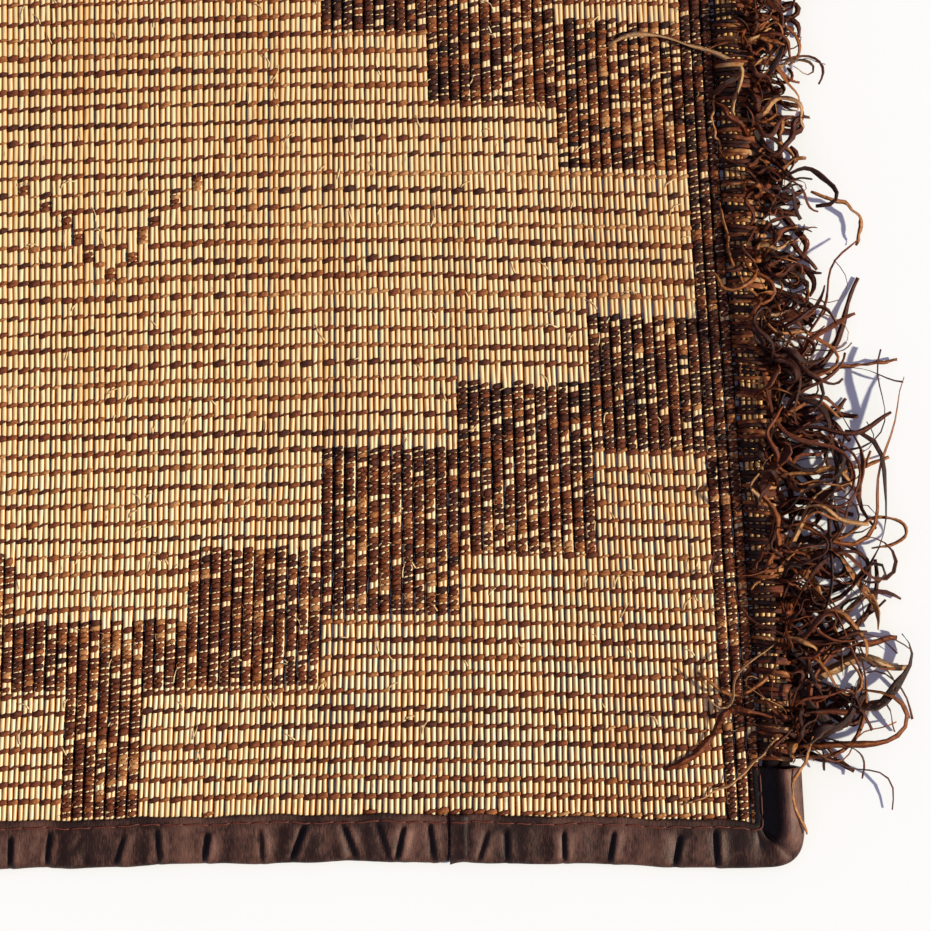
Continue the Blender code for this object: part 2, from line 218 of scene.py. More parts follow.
class MatLeather(bpy.types.PropertyGroup):
    """Colours of the dyed goat leather and sizes of the fringe."""

    strand_count: IntProperty(
        name="Strands a side", description="Thong ends at each side", default=560, min=0, max=900
    )
    strand_width: length("Strand width", "Usual width of a thong end", 0.0024)
    # Darkest dye, and also the colour of painted shade at the bottoms of the wraps, under the fringe and inside
    # the roll
    soot_and_shade: colour("Darkest leather", "Wraps darkened by handling", "241008")
    chocolate: colour("Chocolate leather", "Usual wraps of the pattern", "4A2010")
    russet: colour("Russet leather", "Usual twining thongs", "763618")
    orange: colour("Orange leather", "Thongs that kept their dye", "9C5A2C")
    tan: colour("Tan leather", "Undyed and frayed thongs", "C98F58")
    bloom: colour("Faded leather", "Thongs faded to a pale tan", "C49C76")
    # Painted shade: the dark that the wraps' flanks, the roll's inside and the binding's creases go to
    crevice_shade: colour("Crevices", "Dust and dark between the wraps", "120704")
    binding: colour("Binding", "Folded leather of the ends", "2A160F")
    # Worn colour, and also the painted light on crease slopes and on the caps' outer halves
    binding_worn_and_lit: colour("Binding, worn", "Rubbed folds of the binding", "7C5446")
    thread: colour("Thread", "Running stitch of the binding", "74301E")


class MatStage(bpy.types.PropertyGroup):
    """Light and floor around the mat."""

    key_strength: strength("Key light", "Strength of the warm key", 4.5)
    key_elevation: angle("Key height", "Angle of the key above the floor", 33.5)
    key_turn: angle("Key turn", "Angle of the key from +X towards -Y", 8.0)
    key_spread: angle("Key spread", "Softness of the key's shadows", 2.5)
    key_colour: colour("Key colour", "Warm light from the right", "FFFCE8")
    fill_strength: strength("Fill light", "Strength of the cool fill", 0.38)
    fill_colour: colour("Fill colour", "Cool light from all round", "D4D5FF")
    floor: colour("Floor", "Pale floor", "FAFAFA")


def smooth(share):
    """Soft step 3t^2 - 2t^3 of a share t held between 0 and 1."""
    share = np.clip(share, 0.0, 1.0)
    return share * share * (3.0 - 2.0 * share)


def warp(across, along):
    """Place on the floor of points of the straight weave.

    The stalks fan out by t * (0.06 v^2 - 0.068 v) with t growing towards the sides, sway by 0.085 (v + 0.03)^2
    in the lower half, and the rows bow as a cosine of the place across.
    """
    share = np.clip((np.abs(across) - FAN_START) / (HALF_WIDTH - FAN_START), 0.0, 1.0)
    fan = np.sign(across) * share * (FAN_CURVE * along * along - FAN_SLOPE * along)
    sway = SWAY * np.maximum(0.0, -along - SWAY_START) ** 2
    bow = BOW_HEIGHT * np.cos(TAU * (across - BOW_CREST) / BOW_LENGTH)
    return across + fan - sway, along + bow


def binding_rise(along):
    """Height of the underside: a soft step on to the folded binding near both ends."""
    return BINDING_LIFT * smooth((np.abs(along) - LIFT_START) / LIFT_RUN)


def lift(across, along):
    """Height of the underside: the rise at the ends, plus ridges that are a cosine along and a bell across."""
    height = binding_rise(along) + 0.0 * across
    for place, low, high, rise, half_width in RIDGES:
        share = np.clip((along - low) / (high - low), 0.0, 1.0)
        window = 0.5 - 0.5 * np.cos(TAU * share)
        height = height + rise * window * np.exp(-(((across - place) / half_width) ** 2))
    return height


def waver(rng, count, places, lengths, sizes):
    """Unevenness of handwork: the sum of size * sin(tau * place / length + phase), with random phases."""
    total = np.zeros((count, 1)) + 0.0 * places
    for span, size in zip(lengths, sizes):
        total = total + size * np.sin(TAU * places / span + rng.uniform(0.0, TAU, (count, 1)))
    return total


def unit(vectors):
    """Vectors divided by their length."""
    return vectors / np.maximum(np.linalg.norm(vectors, axis=-1, keepdims=True), 1e-9)


def run_along(points):
    """Distance from the first point to each point along the line through them."""
    return np.concatenate([[0.0], np.cumsum(np.linalg.norm(np.diff(points, axis=0), axis=1))])


def sized(shape, wide, thick):
    """A section's corners at each station, from the half width and half thickness there."""
    return np.array(shape) * np.stack([wide, np.broadcast_to(thick, wide.shape)], -1)[:, :, None, :]


def carry(centre, across, up, section, tone):
    """Closed strips: every point is centre + a * across + b * up, for the corners (a, b) of the section.

    centre, across and up spread to the shape (paths, stations, 3) and the section to (paths, stations,
    corners, 2). Quads join the stations, a cap closes both ends of a path, and all of them face outwards.
    The result is the points, quads and caps, with each point's tone and its place in the strip's own leather.
    """
    paths, stations = centre.shape[:2]
    across = np.broadcast_to(across, centre.shape)
    up = np.broadcast_to(up, centre.shape)
    section = np.broadcast_to(section, (paths, stations) + np.shape(section)[-2:])
    corners = section.shape[2]
    points = centre[:, :, None] + section[..., :1] * across[:, :, None] + section[..., 1:] * up[:, :, None]
    first = (np.arange(paths)[:, None, None] * stations + np.arange(stations - 1)[:, None]) * corners
    here = first + np.arange(corners)
    after = first + (np.arange(corners) + 1) % corners
    quads = np.stack([here, after, after + corners, here + corners], axis=-1)
    ring = np.arange(paths)[:, None] * stations * corners + np.arange(corners)
    caps = np.stack([ring[:, ::-1], ring + (stations - 1) * corners], axis=1)
    step = np.diff(centre, axis=1)
    turned = (np.cross(across, up)[:, :-1] * step).sum(axis=(1, 2)) < 0.0
    quads[turned] = quads[turned][..., ::-1]
    caps[turned] = caps[turned][..., ::-1]
    run = np.concatenate([np.zeros((paths, 1)), np.cumsum(np.linalg.norm(step, axis=-1), axis=1)], axis=1)
    own = (np.arange(paths) * 0.618 % 1.0)[:, None] * 3.0
    grain = np.stack(
        [section[..., 0] + own[..., None], np.broadcast_to((run + own)[..., None], section.shape[:3]),
         section[..., 1]], axis=-1,
    )
    tones = np.broadcast_to(tone.reshape(tone.shape + (1,) * (3 - tone.ndim)), section.shape[:3])
    faces = quads.reshape(-1, 4), caps.reshape(-1, corners)
    return points.reshape(-1, 3), *faces, tones.ravel(), grain.reshape(-1, 3)


def make_piece(name, parts):
    """Joins strips, each with its material, into one mesh that rides on the mat."""
    mesh = bpy.data.meshes.new(name)
    shift = 0
    corners, sizes, indices = [], [], []
    for strips, material in parts:
        points, quads, caps = strips[:3]
        if material.name not in mesh.materials:
            mesh.materials.append(material)
        corners += [quads.ravel() + shift, caps.ravel() + shift]
        sizes += [np.full(len(quads), 4), np.full(len(caps), caps.shape[1])]
        indices.append(np.full(len(quads) + len(caps), mesh.materials.find(material.name)))
        shift += len(points)
    corners, sizes, indices = (np.concatenate(rows).astype(np.int32) for rows in (corners, sizes, indices))
    points, tone, grain = (np.concatenate([strips[k] for strips, _ in parts]) for k in (0, 3, 4))
    mesh.vertices.add(len(points))
    mesh.vertices.foreach_set("co", points.astype(np.float32).ravel())
    mesh.loops.add(len(corners))
    mesh.loops.foreach_set("vertex_index", corners)
    mesh.polygons.add(len(sizes))
    starts = np.concatenate([[0], np.cumsum(sizes)[:-1]]).astype(np.int32)
    mesh.polygons.foreach_set("loop_start", starts)
    mesh.polygons.foreach_set("material_index", indices)
    carried = (("tone", "FLOAT", "value", tone), ("grain", "FLOAT_VECTOR", "vector", grain))
    for own, kind, key, values in carried:
        mesh.attributes.new(own, kind, "POINT").data.foreach_set(key, values.astype(np.float32).ravel())
    mesh.update(calc_edges=True)
    if mesh.validate():
        raise RuntimeError(f"{name} has a face that isn't valid")
    mesh.shade_smooth()
    piece = bpy.data.objects.new(name, mesh)
    bpy.context.scene.collection.objects.link(piece)
    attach(piece, "root")
    return piece


def node(tree, kind, inputs=(), stops=(), out=0, **settings):
    """Adds one shader node and gives one of its outputs.

    Inputs are values or other nodes' outputs, stops are a ramp's (place, colour), and settings are its own.
    """
    made = tree.nodes.new("ShaderNode" + kind)
    for name, value in settings.items():
        setattr(made, name, value)
    for socket, value in dict(inputs).items():
        if isinstance(value, bpy.types.NodeSocket):
            tree.links.new(value, made.inputs[socket])
        else:
            made.inputs[socket].default_value = value
    for k, (place, shade) in enumerate(stops):
        element = made.color_ramp.elements[k] if k < 2 else made.color_ramp.elements.new(place)
        element.position = place
        element.color = shade
    return made.outputs[out] if made.outputs else None


def new_material(name):
    """An empty material with its tree and its shader, or the one made before with no tree."""
    found = bpy.data.materials.get(name)
    if found:
        return found, None, None
    material = bpy.data.materials.new(name)
    material.use_nodes = True
    tree = material.node_tree
    tree.nodes.clear()
    surface = node(tree, "BsdfPrincipled", out="BSDF")
    node(tree, "OutputMaterial", {"Surface": surface})
    return material, tree, surface.node


def cover(tree, shader, shade, relief, bump_share, depth, values):
    """Gives the shader its colour, its bump from a relief of that depth, and its own values."""
    tree.links.new(shade, shader.inputs["Base Color"])
    bump = node(tree, "Bump", {"Height": relief, "Strength": bump_share, "Distance": depth})
    tree.links.new(bump, shader.inputs["Normal"])
    for name, value in values.items():
        shader.inputs[name].default_value = value


def split_grass(weave):
    """Split dry grass, dried in the sun: satin straw with pale rubbed crowns, long fibres and dark gaps."""
    material, tree, shader = new_material("split_grass")
    if tree is None:
        return material
    tone = node(tree, "Attribute", out="Fac", attribute_name="tone")
    own = node(tree, "Attribute", out="Vector", attribute_name="grain")
    place = node(tree, "TexCoord", out="Object")
    # Fibres about 0.5 mm wide and 15 mm long, and bruises up to 7 mm long on single stalks
    fibre_place, bruise_place = (
        node(tree, "Mapping", {"Vector": own, "Scale": scale})
        for scale in ((2000.0, 65.0, 900.0), (700.0, 150.0, 300.0))
    )
    # Patches of ageing some 70 mm wide
    fibre, bruise, patch = (
        node(tree, "TexNoise", {"Vector": vector, "Scale": scale, "Detail": 3.0})
        for vector, scale in ((fibre_place, 1.0), (bruise_place, 1.0), (place, 14.0))
    )
    age = node(tree, "Math", {0: tone, 1: 0.4}, operation="MULTIPLY")
    for share, weight in ((fibre, 0.5), (patch, 0.22)):
        age = node(tree, "Math", {0: share, 1: weight, 2: age}, operation="MULTIPLY_ADD")
    crown = node(tree, "ValToRGB", {"Fac": age}, stops=((0.35, weave.grass), (0.95, weave.grass_aged)))
    # Height above or below a stalk's widest place: towards the crown the grass is paler and down the sides
    # browner, partly its own colour and partly painted light and shade, and at the widest place, where two
    # stalks touch, it is painted dark as shade
    height = node(tree, "SeparateXYZ", {"Vector": own}, out="Z")
    height = node(tree, "Math", {0: height, 1: 0.24 * MM}, operation="ADD")
    height = node(tree, "Math", {0: height}, operation="ABSOLUTE")
    up, out = (
        node(tree, "MapRange", {"Value": height, "From Min": low * MM, "From Max": high * MM})
        for low, high in ((0.7, 1.35), (0.1, 0.5))
    )
    marked = node(tree, "MapRange", {"Value": bruise, "From Min": 0.64, "From Max": 0.76, "To Max": 0.7})
    shade = node(tree, "Mix", {0: up, 6: tuple(weave.grass_side_and_shade), 7: crown}, out=2, data_type="RGBA")
    shade = node(tree, "Mix", {0: out, 6: tuple(weave.grass_gap_shade), 7: shade}, out=2, data_type="RGBA")
    shade = node(tree, "Mix", {0: marked, 6: shade, 7: tuple(weave.grass_mark)}, out=2, data_type="RGBA")
    cover(tree, shader, shade, fibre, 0.45, 0.15 * MM, {"Roughness": 0.36, "IOR": 1.5})
    return material


def goat_thong(leather, name, fibre_scale, shade_height):
    """Narrow strips of dyed goat leather, cut and twisted by hand: dull, fibrous, and paler where frayed.

    fibre_scale says which way the fibres run, and within the last argument's height above or below the
    section's middle the strip is painted dark as shade.
    """
    material, tree, shader = new_material(name)
    if tree is None:
        return material
    tone = node(tree, "Attribute", out="Fac", attribute_name="tone")
    own = node(tree, "Attribute", out="Vector", attribute_name="grain")
    # Dye that took unevenly, in patches of 2 mm
    dye = node(tree, "TexNoise", {"Vector": own, "Scale": 480.0, "Detail": 3.0})
    # Twisted fibres 0.5 mm across, coarser than real ones so that they show
    place = node(tree, "Mapping", {"Vector": own, "Scale": fibre_scale})
    fibre = node(tree, "TexNoise", {"Vector": place, "Scale": 1.0, "Detail": 4.0, "Roughness": 0.68})
    mixed = tone
    for share, weight in ((dye, 0.4), (fibre, 0.55)):
        mixed = node(tree, "Math", {0: share, 1: weight, 2: mixed}, operation="MULTIPLY_ADD")
    mixed = node(tree, "Math", {0: mixed, 1: 0.475}, operation="SUBTRACT")
    dyes = (leather.soot_and_shade, leather.chocolate, leather.russet, leather.orange, leather.tan, leather.bloom)
    stops = tuple(zip((0.05, 0.26, 0.48, 0.66, 0.84, 1.0), dyes))
    shade = node(tree, "ValToRGB", {"Fac": mixed}, stops=stops)
    # Painted shade: near the middle height of its section, as on the flanks of the wraps, the leather goes dark
    height = node(tree, "SeparateXYZ", {"Vector": own}, out="Z")
    height = node(tree, "Math", {0: height}, operation="ABSOLUTE")
    shade_range = {"Value": height, "From Min": -0.4 * shade_height, "From Max": shade_height}
    unshaded = node(tree, "MapRange", shade_range)
    shade = node(tree, "Mix", {0: unshaded, 6: tuple(leather.crevice_shade), 7: shade}, out=2, data_type="RGBA")
    relief = node(tree, "Math", {0: dye, 1: 0.5, 2: fibre}, operation="MULTIPLY_ADD")
    values = {"Roughness": 0.5, "IOR": 1.45, "Specular IOR Level": 0.3}
    cover(tree, shader, shade, relief, 0.8, 0.6 * MM, values)
    return material


def bound_goat_leather(leather):
    """Thin goat leather, oiled and folded by hand: dark, mottled and finely grained, with light and shade on
    its creases painted in from the tone it carries.
    """
    material, tree, shader = new_material("bound_goat_leather")
    if tree is None:
        return material
    place = node(tree, "TexCoord", out="Object")
    tone = node(tree, "Attribute", out="Fac", attribute_name="tone")
    # Mottles of 9 mm, scuffed hair lines 0.7 mm wide that run from edge to edge, and a grain of 0.8 mm
    mottle = node(tree, "TexNoise", {"Vector": place, "Scale": 110.0, "Detail": 4.0, "Roughness": 0.62})
    line_place = node(tree, "Mapping", {"Vector": place, "Scale": (1400.0, 260.0, 500.0)})
    lines = node(tree, "TexNoise", {"Vector": line_place, "Scale": 1.0, "Detail": 2.0})
    pebble = node(tree, "TexVoronoi", {"Vector": place, "Scale": 1250.0}, out="Distance")
    # The tone carries painted light and shade, the mottles and hair lines real wear
    worn_and_lit = tone
    for share, weight in ((mottle, 0.42), (lines, 0.4)):
        worn_and_lit = node(tree, "Math", {0: share, 1: weight, 2: worn_and_lit}, operation="MULTIPLY_ADD")
    stops = ((0.2, leather.crevice_shade), (0.46, leather.binding), (0.85, leather.binding_worn_and_lit))
    shade = node(tree, "ValToRGB", {"Fac": worn_and_lit}, stops=stops)
    relief = node(tree, "Math", {0: lines, 1: 0.7, 2: pebble}, operation="MULTIPLY_ADD")
    values = {"Roughness": 0.52, "IOR": 1.45, "Specular IOR Level": 0.28}
    cover(tree, shader, shade, relief, 0.35, 0.3 * MM, values)
    return material


def waxed_thread(leather):
    """Hand-twisted thread, waxed and dyed red: a dull line with a fine twist."""
    material, tree, shader = new_material("waxed_thread")
    if tree is None:
        return material
    own = node(tree, "Attribute", out="Vector", attribute_name="grain")
    # A twist every 0.9 mm
    winding = {"Vector": own, "Scale": 350.0, "Distortion": 1.0}
    twist = node(tree, "TexWave", winding, out="Fac", bands_direction="Y")
    dyes = {0: twist, 6: tuple(leather.chocolate), 7: tuple(leather.thread)}
    shade = node(tree, "Mix", dyes, out=2, data_type="RGBA")
    cover(tree, shader, shade, twist, 0.4, 0.1 * MM, {"Roughness": 0.6})
    return material


def blocks():
    """All wrapped areas as (first pair, last pair, lower end, upper end)."""
    found = list(MIDDLE_BLOCKS)
    for first, last, low, high in RIGHT_BLOCKS:
        found.append((first, last, low, high))
        found.append((-last, -first, low, high))
    for arm in range(-DOT_COUNT_EACH_ARM, DOT_COUNT_EACH_ARM + 1):
        pair = round(1.5 * arm)
        low = DOT_APEX + abs(arm) * DOT_ROW_STEP - DOT_HEIGHT / 2
        found.append((pair, pair + 1, low, low + DOT_HEIGHT))
    return found


def wrapped_stretches(pair, found):
    """Lower and upper ends of the stretches of one pair of stalks that are wrapped in leather."""
    if abs(pair + 0.5) > PAIRS_EACH_SIDE - BORDER_PAIRS:
        return [(-WRAP_REACH, WRAP_REACH)]
    stretches = []
    for first, last, low, high in found:
        if first <= pair < last:
            stretches.append((max(low, -WRAP_REACH), min(high, WRAP_REACH)))
    stretches.sort()
    joined = []
    for low, high in stretches:
        if joined and low <= joined[-1][1]:
            joined[-1] = (joined[-1][0], max(high, joined[-1][1]))
        else:
            joined.append((low, high))
    return joined


def wrapped_share(along):
    """Whether each pair is wrapped at each place along it: 1 within a stretch and a little past it, else 0."""
    found = blocks()
    share = np.zeros((2 * PAIRS_EACH_SIDE, len(along)))
    for k, pair in enumerate(range(-PAIRS_EACH_SIDE, PAIRS_EACH_SIDE)):
        for low, high in wrapped_stretches(pair, found):
            share[k] = np.maximum(share[k], (along > low - PAST_WRAPS) & (along < high + PAST_WRAPS))
    return share


# Corners of a split stalk, a thong, a wrap round two stalks and a free strip, as shares of half their size
STALK_SECTION = ((0.0, -1.05), (1.1, -0.2), (0.7, 0.7), (-0.1, 1.0), (-0.82, 0.5), (-1.1, -0.2))
THONG_SECTION = ((-1.0, -0.6), (1.0, -0.6), (0.6, 0.9), (-0.6, 0.9))
UNDER_SECTION = ((-1.0, -0.6), (1.0, -0.6), (0.0, 1.0))
WRAP_SECTION = ((-1.22, -0.97), (1.22, -0.97), (0.98, 0.25), (0.56, 0.94), (-0.52, 0.96), (-0.98, 0.3))
# Tone of each corner of a wrap: painted darker at the bottom corners and sides as shade, and a little paler on
# top as light
WRAP_SHADE_TONES = (-0.36, -0.36, -0.04, 0.06, 0.04, -0.06)
# Tone of a thong that runs on behind the stalks: the thong is real, its darkest tone is painted shade
SUNK = -1.0
STRIP_SECTION = ((-1.0, 0.35), (-0.55, -0.6), (0.55, -0.6), (1.0, 0.35))
EDGE_TONES = (0.16, -0.08, -0.08, 0.16)
STALK_STATIONS = 44
# Scales of the fibres for strips that run along their own path, and for wraps that wind round the stalks
ALONG_STRIP = (2200.0, 480.0, 1500.0)
ROUND_STALKS = (480.0, 2200.0, 480.0)
# Height of painted shade for strips that get none
NO_PAINTED_SHADE = 0.001 * MM
WRAP_SQUEEZE = 0.26 * MM
PAST_WRAPS = 4.0 * MM
STALK_MIDDLE = 0.00185
CROWN_HEIGHT = 1.2 * MM
SPLINTER_COUNT = 420
SLIVER_STATIONS = 4
PALE_WRAP = 0.32
FRAY_COUNT = 800
# Paler bands of the wraps: how tall one is, how many there are along and across, and the share that is pale
BAND_HEIGHT = 0.0044
BAND_GRID = (160, 40)
BAND_LIMIT = 0.87


def stalk_strips(weave):
    """All stalks: a split round section carried along v, jogging a little between the rows of twining."""
    rng = np.random.default_rng(11)
    index = np.arange(4 * PAIRS_EACH_SIDE)
    count = len(index)
    place = (index // 2 - PAIRS_EACH_SIDE + 0.5) * PAIR_PITCH + (index % 2 - 0.5) * weave.stalk_spacing
    reach = FIELD_REACH - rng.uniform(0.0, 1.2 * MM, (count, 1))
    along = reach * np.linspace(-1.0, 1.0, STALK_STATIONS)
    across = place[:, None] + waver(rng, count, along, (0.09, 0.041, 0.028), (0.09 * MM, 0.12 * MM, 0.1 * MM))
    across = across - WRAP_SQUEEZE * (index % 2 * 2 - 1)[:, None] * wrapped_share(along[0])[index // 2]
    x, y = warp(across, along)
    z = lift(place[:, None], along) + STALK_MIDDLE
    z = z + waver(rng, count, along, (0.07, 0.031), (0.08 * MM, 0.06 * MM))
    wide = weave.stalk_width * np.clip(rng.normal(1.0, 0.085, count), 0.8, 1.12)
    half = np.stack([wide, np.full(count, weave.stalk_height)], 1) / 2
    section = np.array(STALK_SECTION) * half[:, None, None, :]
    tone = rng.beta(1.6, 2.4, count)
    return carry(np.stack([x, y, z], -1), RIGHT, UP, section, tone)


def thong_rows(weave):
    """Places of all bare twists of the twining: across, along, row and pair where the pair isn't wrapped."""
    rng = np.random.default_rng(23)
    rows = np.arange(-ROWS_EACH_SIDE, ROWS_EACH_SIDE + 1)
    pairs = np.arange(-PAIRS_EACH_SIDE, PAIRS_EACH_SIDE)
    across = (pairs + 0.5) * PAIR_PITCH
    along = ROW_OFFSET + weave.row_pitch * rows[:, None]
    along = along + waver(rng, len(rows), across, (0.43, 0.11), (0.45 * MM, 0.25 * MM))
    along = along + rng.normal(0.0, 0.2 * MM, along.shape)
    bare = np.abs(along) < WRAP_REACH
    found = blocks()
    for k, pair in enumerate(pairs):
        for low, high in wrapped_stretches(pair, found):
            bare[:, k] &= (along[:, k] < low - 1.0 * MM) | (along[:, k] > high + 1.0 * MM)
    row, pair = np.nonzero(bare)
    return across[pair], along[row, pair], row, pair


def twist_strips(weave, under):
    """The twining on one face: two thongs take turns to climb over a pair, at a slant, and dive between pairs.

    Along the thong its place is t times the pitch across and t times the slant along, for t from -1/2 to 1/2.
    One thong of each row is thicker, and both swell and thin along the row as sums of sines.
    """
    rng = np.random.default_rng(37 + under)
    across, along, row, pair = thong_rows(weave)
    count = len(across)
    rows = 2 * ROWS_EACH_SIDE + 1
    turn = (pair + row) % 2
    places = (np.arange(2 * PAIRS_EACH_SIDE) + 0.5) * PAIR_PITCH
    places = np.broadcast_to(places, (2 * rows, 2 * PAIRS_EACH_SIDE))
    thick_ones, thin_ones = rng.normal(0.93, 0.1, 2 * rows), rng.normal(0.68, 0.15, 2 * rows)
    bulk = np.where(np.arange(2 * rows) % 2, thick_ones, thin_ones)
    bulk = bulk[:, None] + waver(rng, 2 * rows, places, (0.21, 0.083), (0.14, 0.12))
    bulk = np.clip(bulk[2 * row + turn, pair] * rng.normal(1.0, 0.09, count), 0.38, 1.22)[:, None]
    stations = 3 if under else 4
    t = np.linspace(-0.5, 0.5, 3) if under else np.array([-0.5, -0.27, 0.27, 0.5])
    slant = weave.thong_slant * rng.uniform(0.5, 1.4, (count, 1)) * (-1.0 if under else 1.0)
    x, y = warp(across[:, None] + 0.98 * PAIR_PITCH * t, along[:, None] + slant * t)
    profile = np.array([1.6, 0.3, 1.6] if under else [2.35, 3.3, 3.34, 2.45]) * MM
    rise = 0.0 if under else rng.normal(0.0, 0.09 * MM, (count, 1)) + 0.16 * MM * (bulk - 0.8)
    z = lift(across[:, None], along[:, None]) + profile + rise
    ends = np.array([0.7, 1.0, 0.7] if under else [0.86, 1.0, 1.02, 0.92])
    wide = weave.thong_width / 2 * bulk * ends
    thick = (0.22 if under else 0.44) * MM * np.sqrt(bulk)
    section = sized(UNDER_SECTION if under else THONG_SECTION, wide, thick)
    heading = np.broadcast_to(np.arctan2(slant, PAIR_PITCH)[..., None], (count, stations, 1))
    side = np.concatenate([-np.sin(heading), np.cos(heading), 0.0 * heading], -1)
    # A thong is one strip, so its tone holds along the row; thin ones are paler, some rows dark, some faded
    row_tone = rng.normal(0.49, 0.08, 2 * rows) - 0.1 * (rng.random(2 * rows) < 0.2)
    row_tone = row_tone[:, None] + waver(rng, 2 * rows, places, (0.3, 0.12), (0.07, 0.05))
    faded = 0.3 * smooth((across - 0.05) / 0.06) * smooth((0.11 - np.abs(along - 0.02)) / 0.06)
    faded = faded * (rng.random(rows) < 0.3)[row]
    tone = row_tone[2 * row + turn, pair] + rng.normal(0.0, 0.06, count) + faded + 0.2 * (0.8 - bulk[:, 0])
    # Painted light: each thong is paler towards its +X end and darker towards its -X end
    tones = tone[:, None] + np.linspace(-0.1, 0.1, stations)
    return carry(np.stack([x, y, z], -1), side, UP, section, np.clip(tones, 0.24, 0.85))


def wrap_places(weave, side):
    """Where the wraps of one half of the mat sit: pair, lower end and length of each, and its tone."""
    rng = np.random.default_rng(53 + side)
    found = blocks()
    bands = rng.random(BAND_GRID)
    pairs, starts, lengths, tones = [], [], [], []
    half = range(0, PAIRS_EACH_SIDE) if side > 0 else range(-PAIRS_EACH_SIDE, 0)
    for pair in half:
        border = abs(pair + 0.5) > PAIRS_EACH_SIDE - BORDER_PAIRS
        window = 0.03 if border else 0.05 + 0.17 * rng.beta(1.2, 1.6)
        mood = rng.normal(0.0, 0.05)
        for low, high in wrapped_stretches(pair, found):
            dot = high - low < DOT_LIMIT
            # Near the upper corners more stalks show and more wraps are undyed
            corner = smooth((abs(pair + 0.5) * PAIR_PITCH - 0.16) / 0.05) * smooth(high / 0.03) * (not border)
            open_share = window + 0.1 * corner
            shares = (1.0, 0.0, 0.0) if dot else (0.73 - open_share, 0.27, open_share)
            count = int((high - low) / weave.wrap_short) + 2
            size = rng.uniform(weave.wrap_short, weave.wrap_long, count)
            size = size * rng.choice((1.0, 1.4), count, p=(0.9, 0.1))
            space = rng.choice((0.1, 0.65, 2.5), count, p=shares) * rng.uniform(0.75, 1.3, count) * MM
            start = low + np.concatenate([[0.0], np.cumsum(size + space)[:-1]])
            kept = start + size < high + 0.5 * MM
            row = ((start + 0.32) / BAND_HEIGHT).astype(int) % BAND_GRID[0]
            band = bands[row, (pair // 2) % BAND_GRID[1]]
            light = (band > BAND_LIMIT) * 0.3 + (rng.random(count) > 0.92 - 0.4 * corner) * 0.28
            low_left = 0.12 * smooth((-start - 0.08) / 0.06)
            tone = 0.22 + mood + light + low_left + 0.24 * dot + rng.normal(0.0, 0.07, count)
            # Where the stalks show between two wraps, the thong runs on behind them, with the darkest tone as
            # painted shade
            behind = kept & (space > 1.2 * MM)
            pairs.append(np.full(kept.sum() + behind.sum(), pair))
            starts.append(np.concatenate([start[kept], (start + size)[behind]]))
            lengths.append(np.concatenate([size[kept], space[behind]]))
            tones.append(np.concatenate([tone[kept], np.full(behind.sum(), SUNK)]))
    return tuple(np.concatenate(rows) for rows in (pairs, starts, lengths, tones))


def wrap_strips(weave, side):
    """The wraps of one half: slanted rings round two stalks, rounded off towards both ends of each ring."""
    rng = np.random.default_rng(71 + side)
    pair, start, size, tone = wrap_places(weave, side)
    count = len(pair)
    across = (pair + 0.5) * PAIR_PITCH + rng.normal(0.0, 0.1 * MM, count)
    along = start[:, None] + size[:, None] * np.array([-0.03, 0.24, 0.76, 1.03])
    x, y = warp(across[:, None], along)
    z = lift(across[:, None], along) + 1.95 * MM
    wide = 2.36 * MM * rng.uniform(0.95, 1.05, (count, 1)) * np.array([0.96, 1.0, 1.0, 0.96])
    tall = 1.98 * MM * rng.uniform(0.92, 1.08, (count, 1)) * np.array([0.53, 0.98, 1.0, 0.53])
    section = sized(WRAP_SECTION, wide, tall)
    section[..., 1] = np.maximum(section[..., 1], -1.93 * MM)
    section[tone == SUNK, :, :, 1] = np.minimum(section[tone == SUNK, :, :, 1], -0.95 * MM)
    tilt = np.broadcast_to(rng.normal(0.2, 0.09, (count, 1, 1)), (count, 4, 1))
    direction = np.concatenate([np.cos(tilt), np.sin(tilt), 0.0 * tilt], -1)
    # Painted shade: each wrap is darker at both ends, where the grooves between wraps lie, and along its bottom
    # corners
    tones = tone[:, None, None] + np.array([-0.08, 0.0, 0.02, -0.08])[:, None] + np.array(WRAP_SHADE_TONES)
    return carry(np.stack([x, y, z], -1), direction, UP, section, np.clip(tones, -0.2, 0.8))


def slivers(across, along, heading, reach, rise, radius):
    """Paths and sections of thin slivers that run from places of the weave: reach ahead, and rise in mm."""
    t = np.linspace(0.0, 1.0, SLIVER_STATIONS)
    x, y = warp(across, along)
    x = x[:, None] + reach * t * np.cos(heading)
    y = y[:, None] + reach * t * np.sin(heading)
    z = lift(across, along)[:, None] + rise * MM
    return np.stack([x, y, z], -1), np.array(UNDER_SECTION) * radius[:, None, None] * np.array([1.0, 0.6])


def fray_strips(weave, side, count):
    """Frayed ends on the paler wraps: thin slivers that curl up and over, a parabola in height."""
    rng = np.random.default_rng(97 + side)
    pair, start, size, tone = wrap_places(weave, side)
    chosen = rng.choice(np.nonzero(tone > PALE_WRAP)[0], count)
    across = (pair[chosen] + 0.5) * PAIR_PITCH + rng.uniform(-2.2, 2.2, count) * MM
    along = start[chosen] + size[chosen] * rng.random(count)
    heading = rng.uniform(0.0, TAU, (count, 1))
    t = np.linspace(0.0, 1.0, SLIVER_STATIONS)
    reach = rng.uniform(1.2, 3.6, (count, 1)) * MM
    rise = 3.6 + rng.uniform(0.3, 1.2, (count, 1)) * 4.0 * t * (1.15 - t)
    centre, section = slivers(across, along, heading + t, reach, rise, 0.26 * MM * (1.0 - 0.6 * t))
    directions = strip_frames(centre, rng.uniform(0.0, TAU, (count, 1)))
    return carry(centre, *directions, section, np.clip(tone[chosen] + 0.15, 0.0, 0.92))


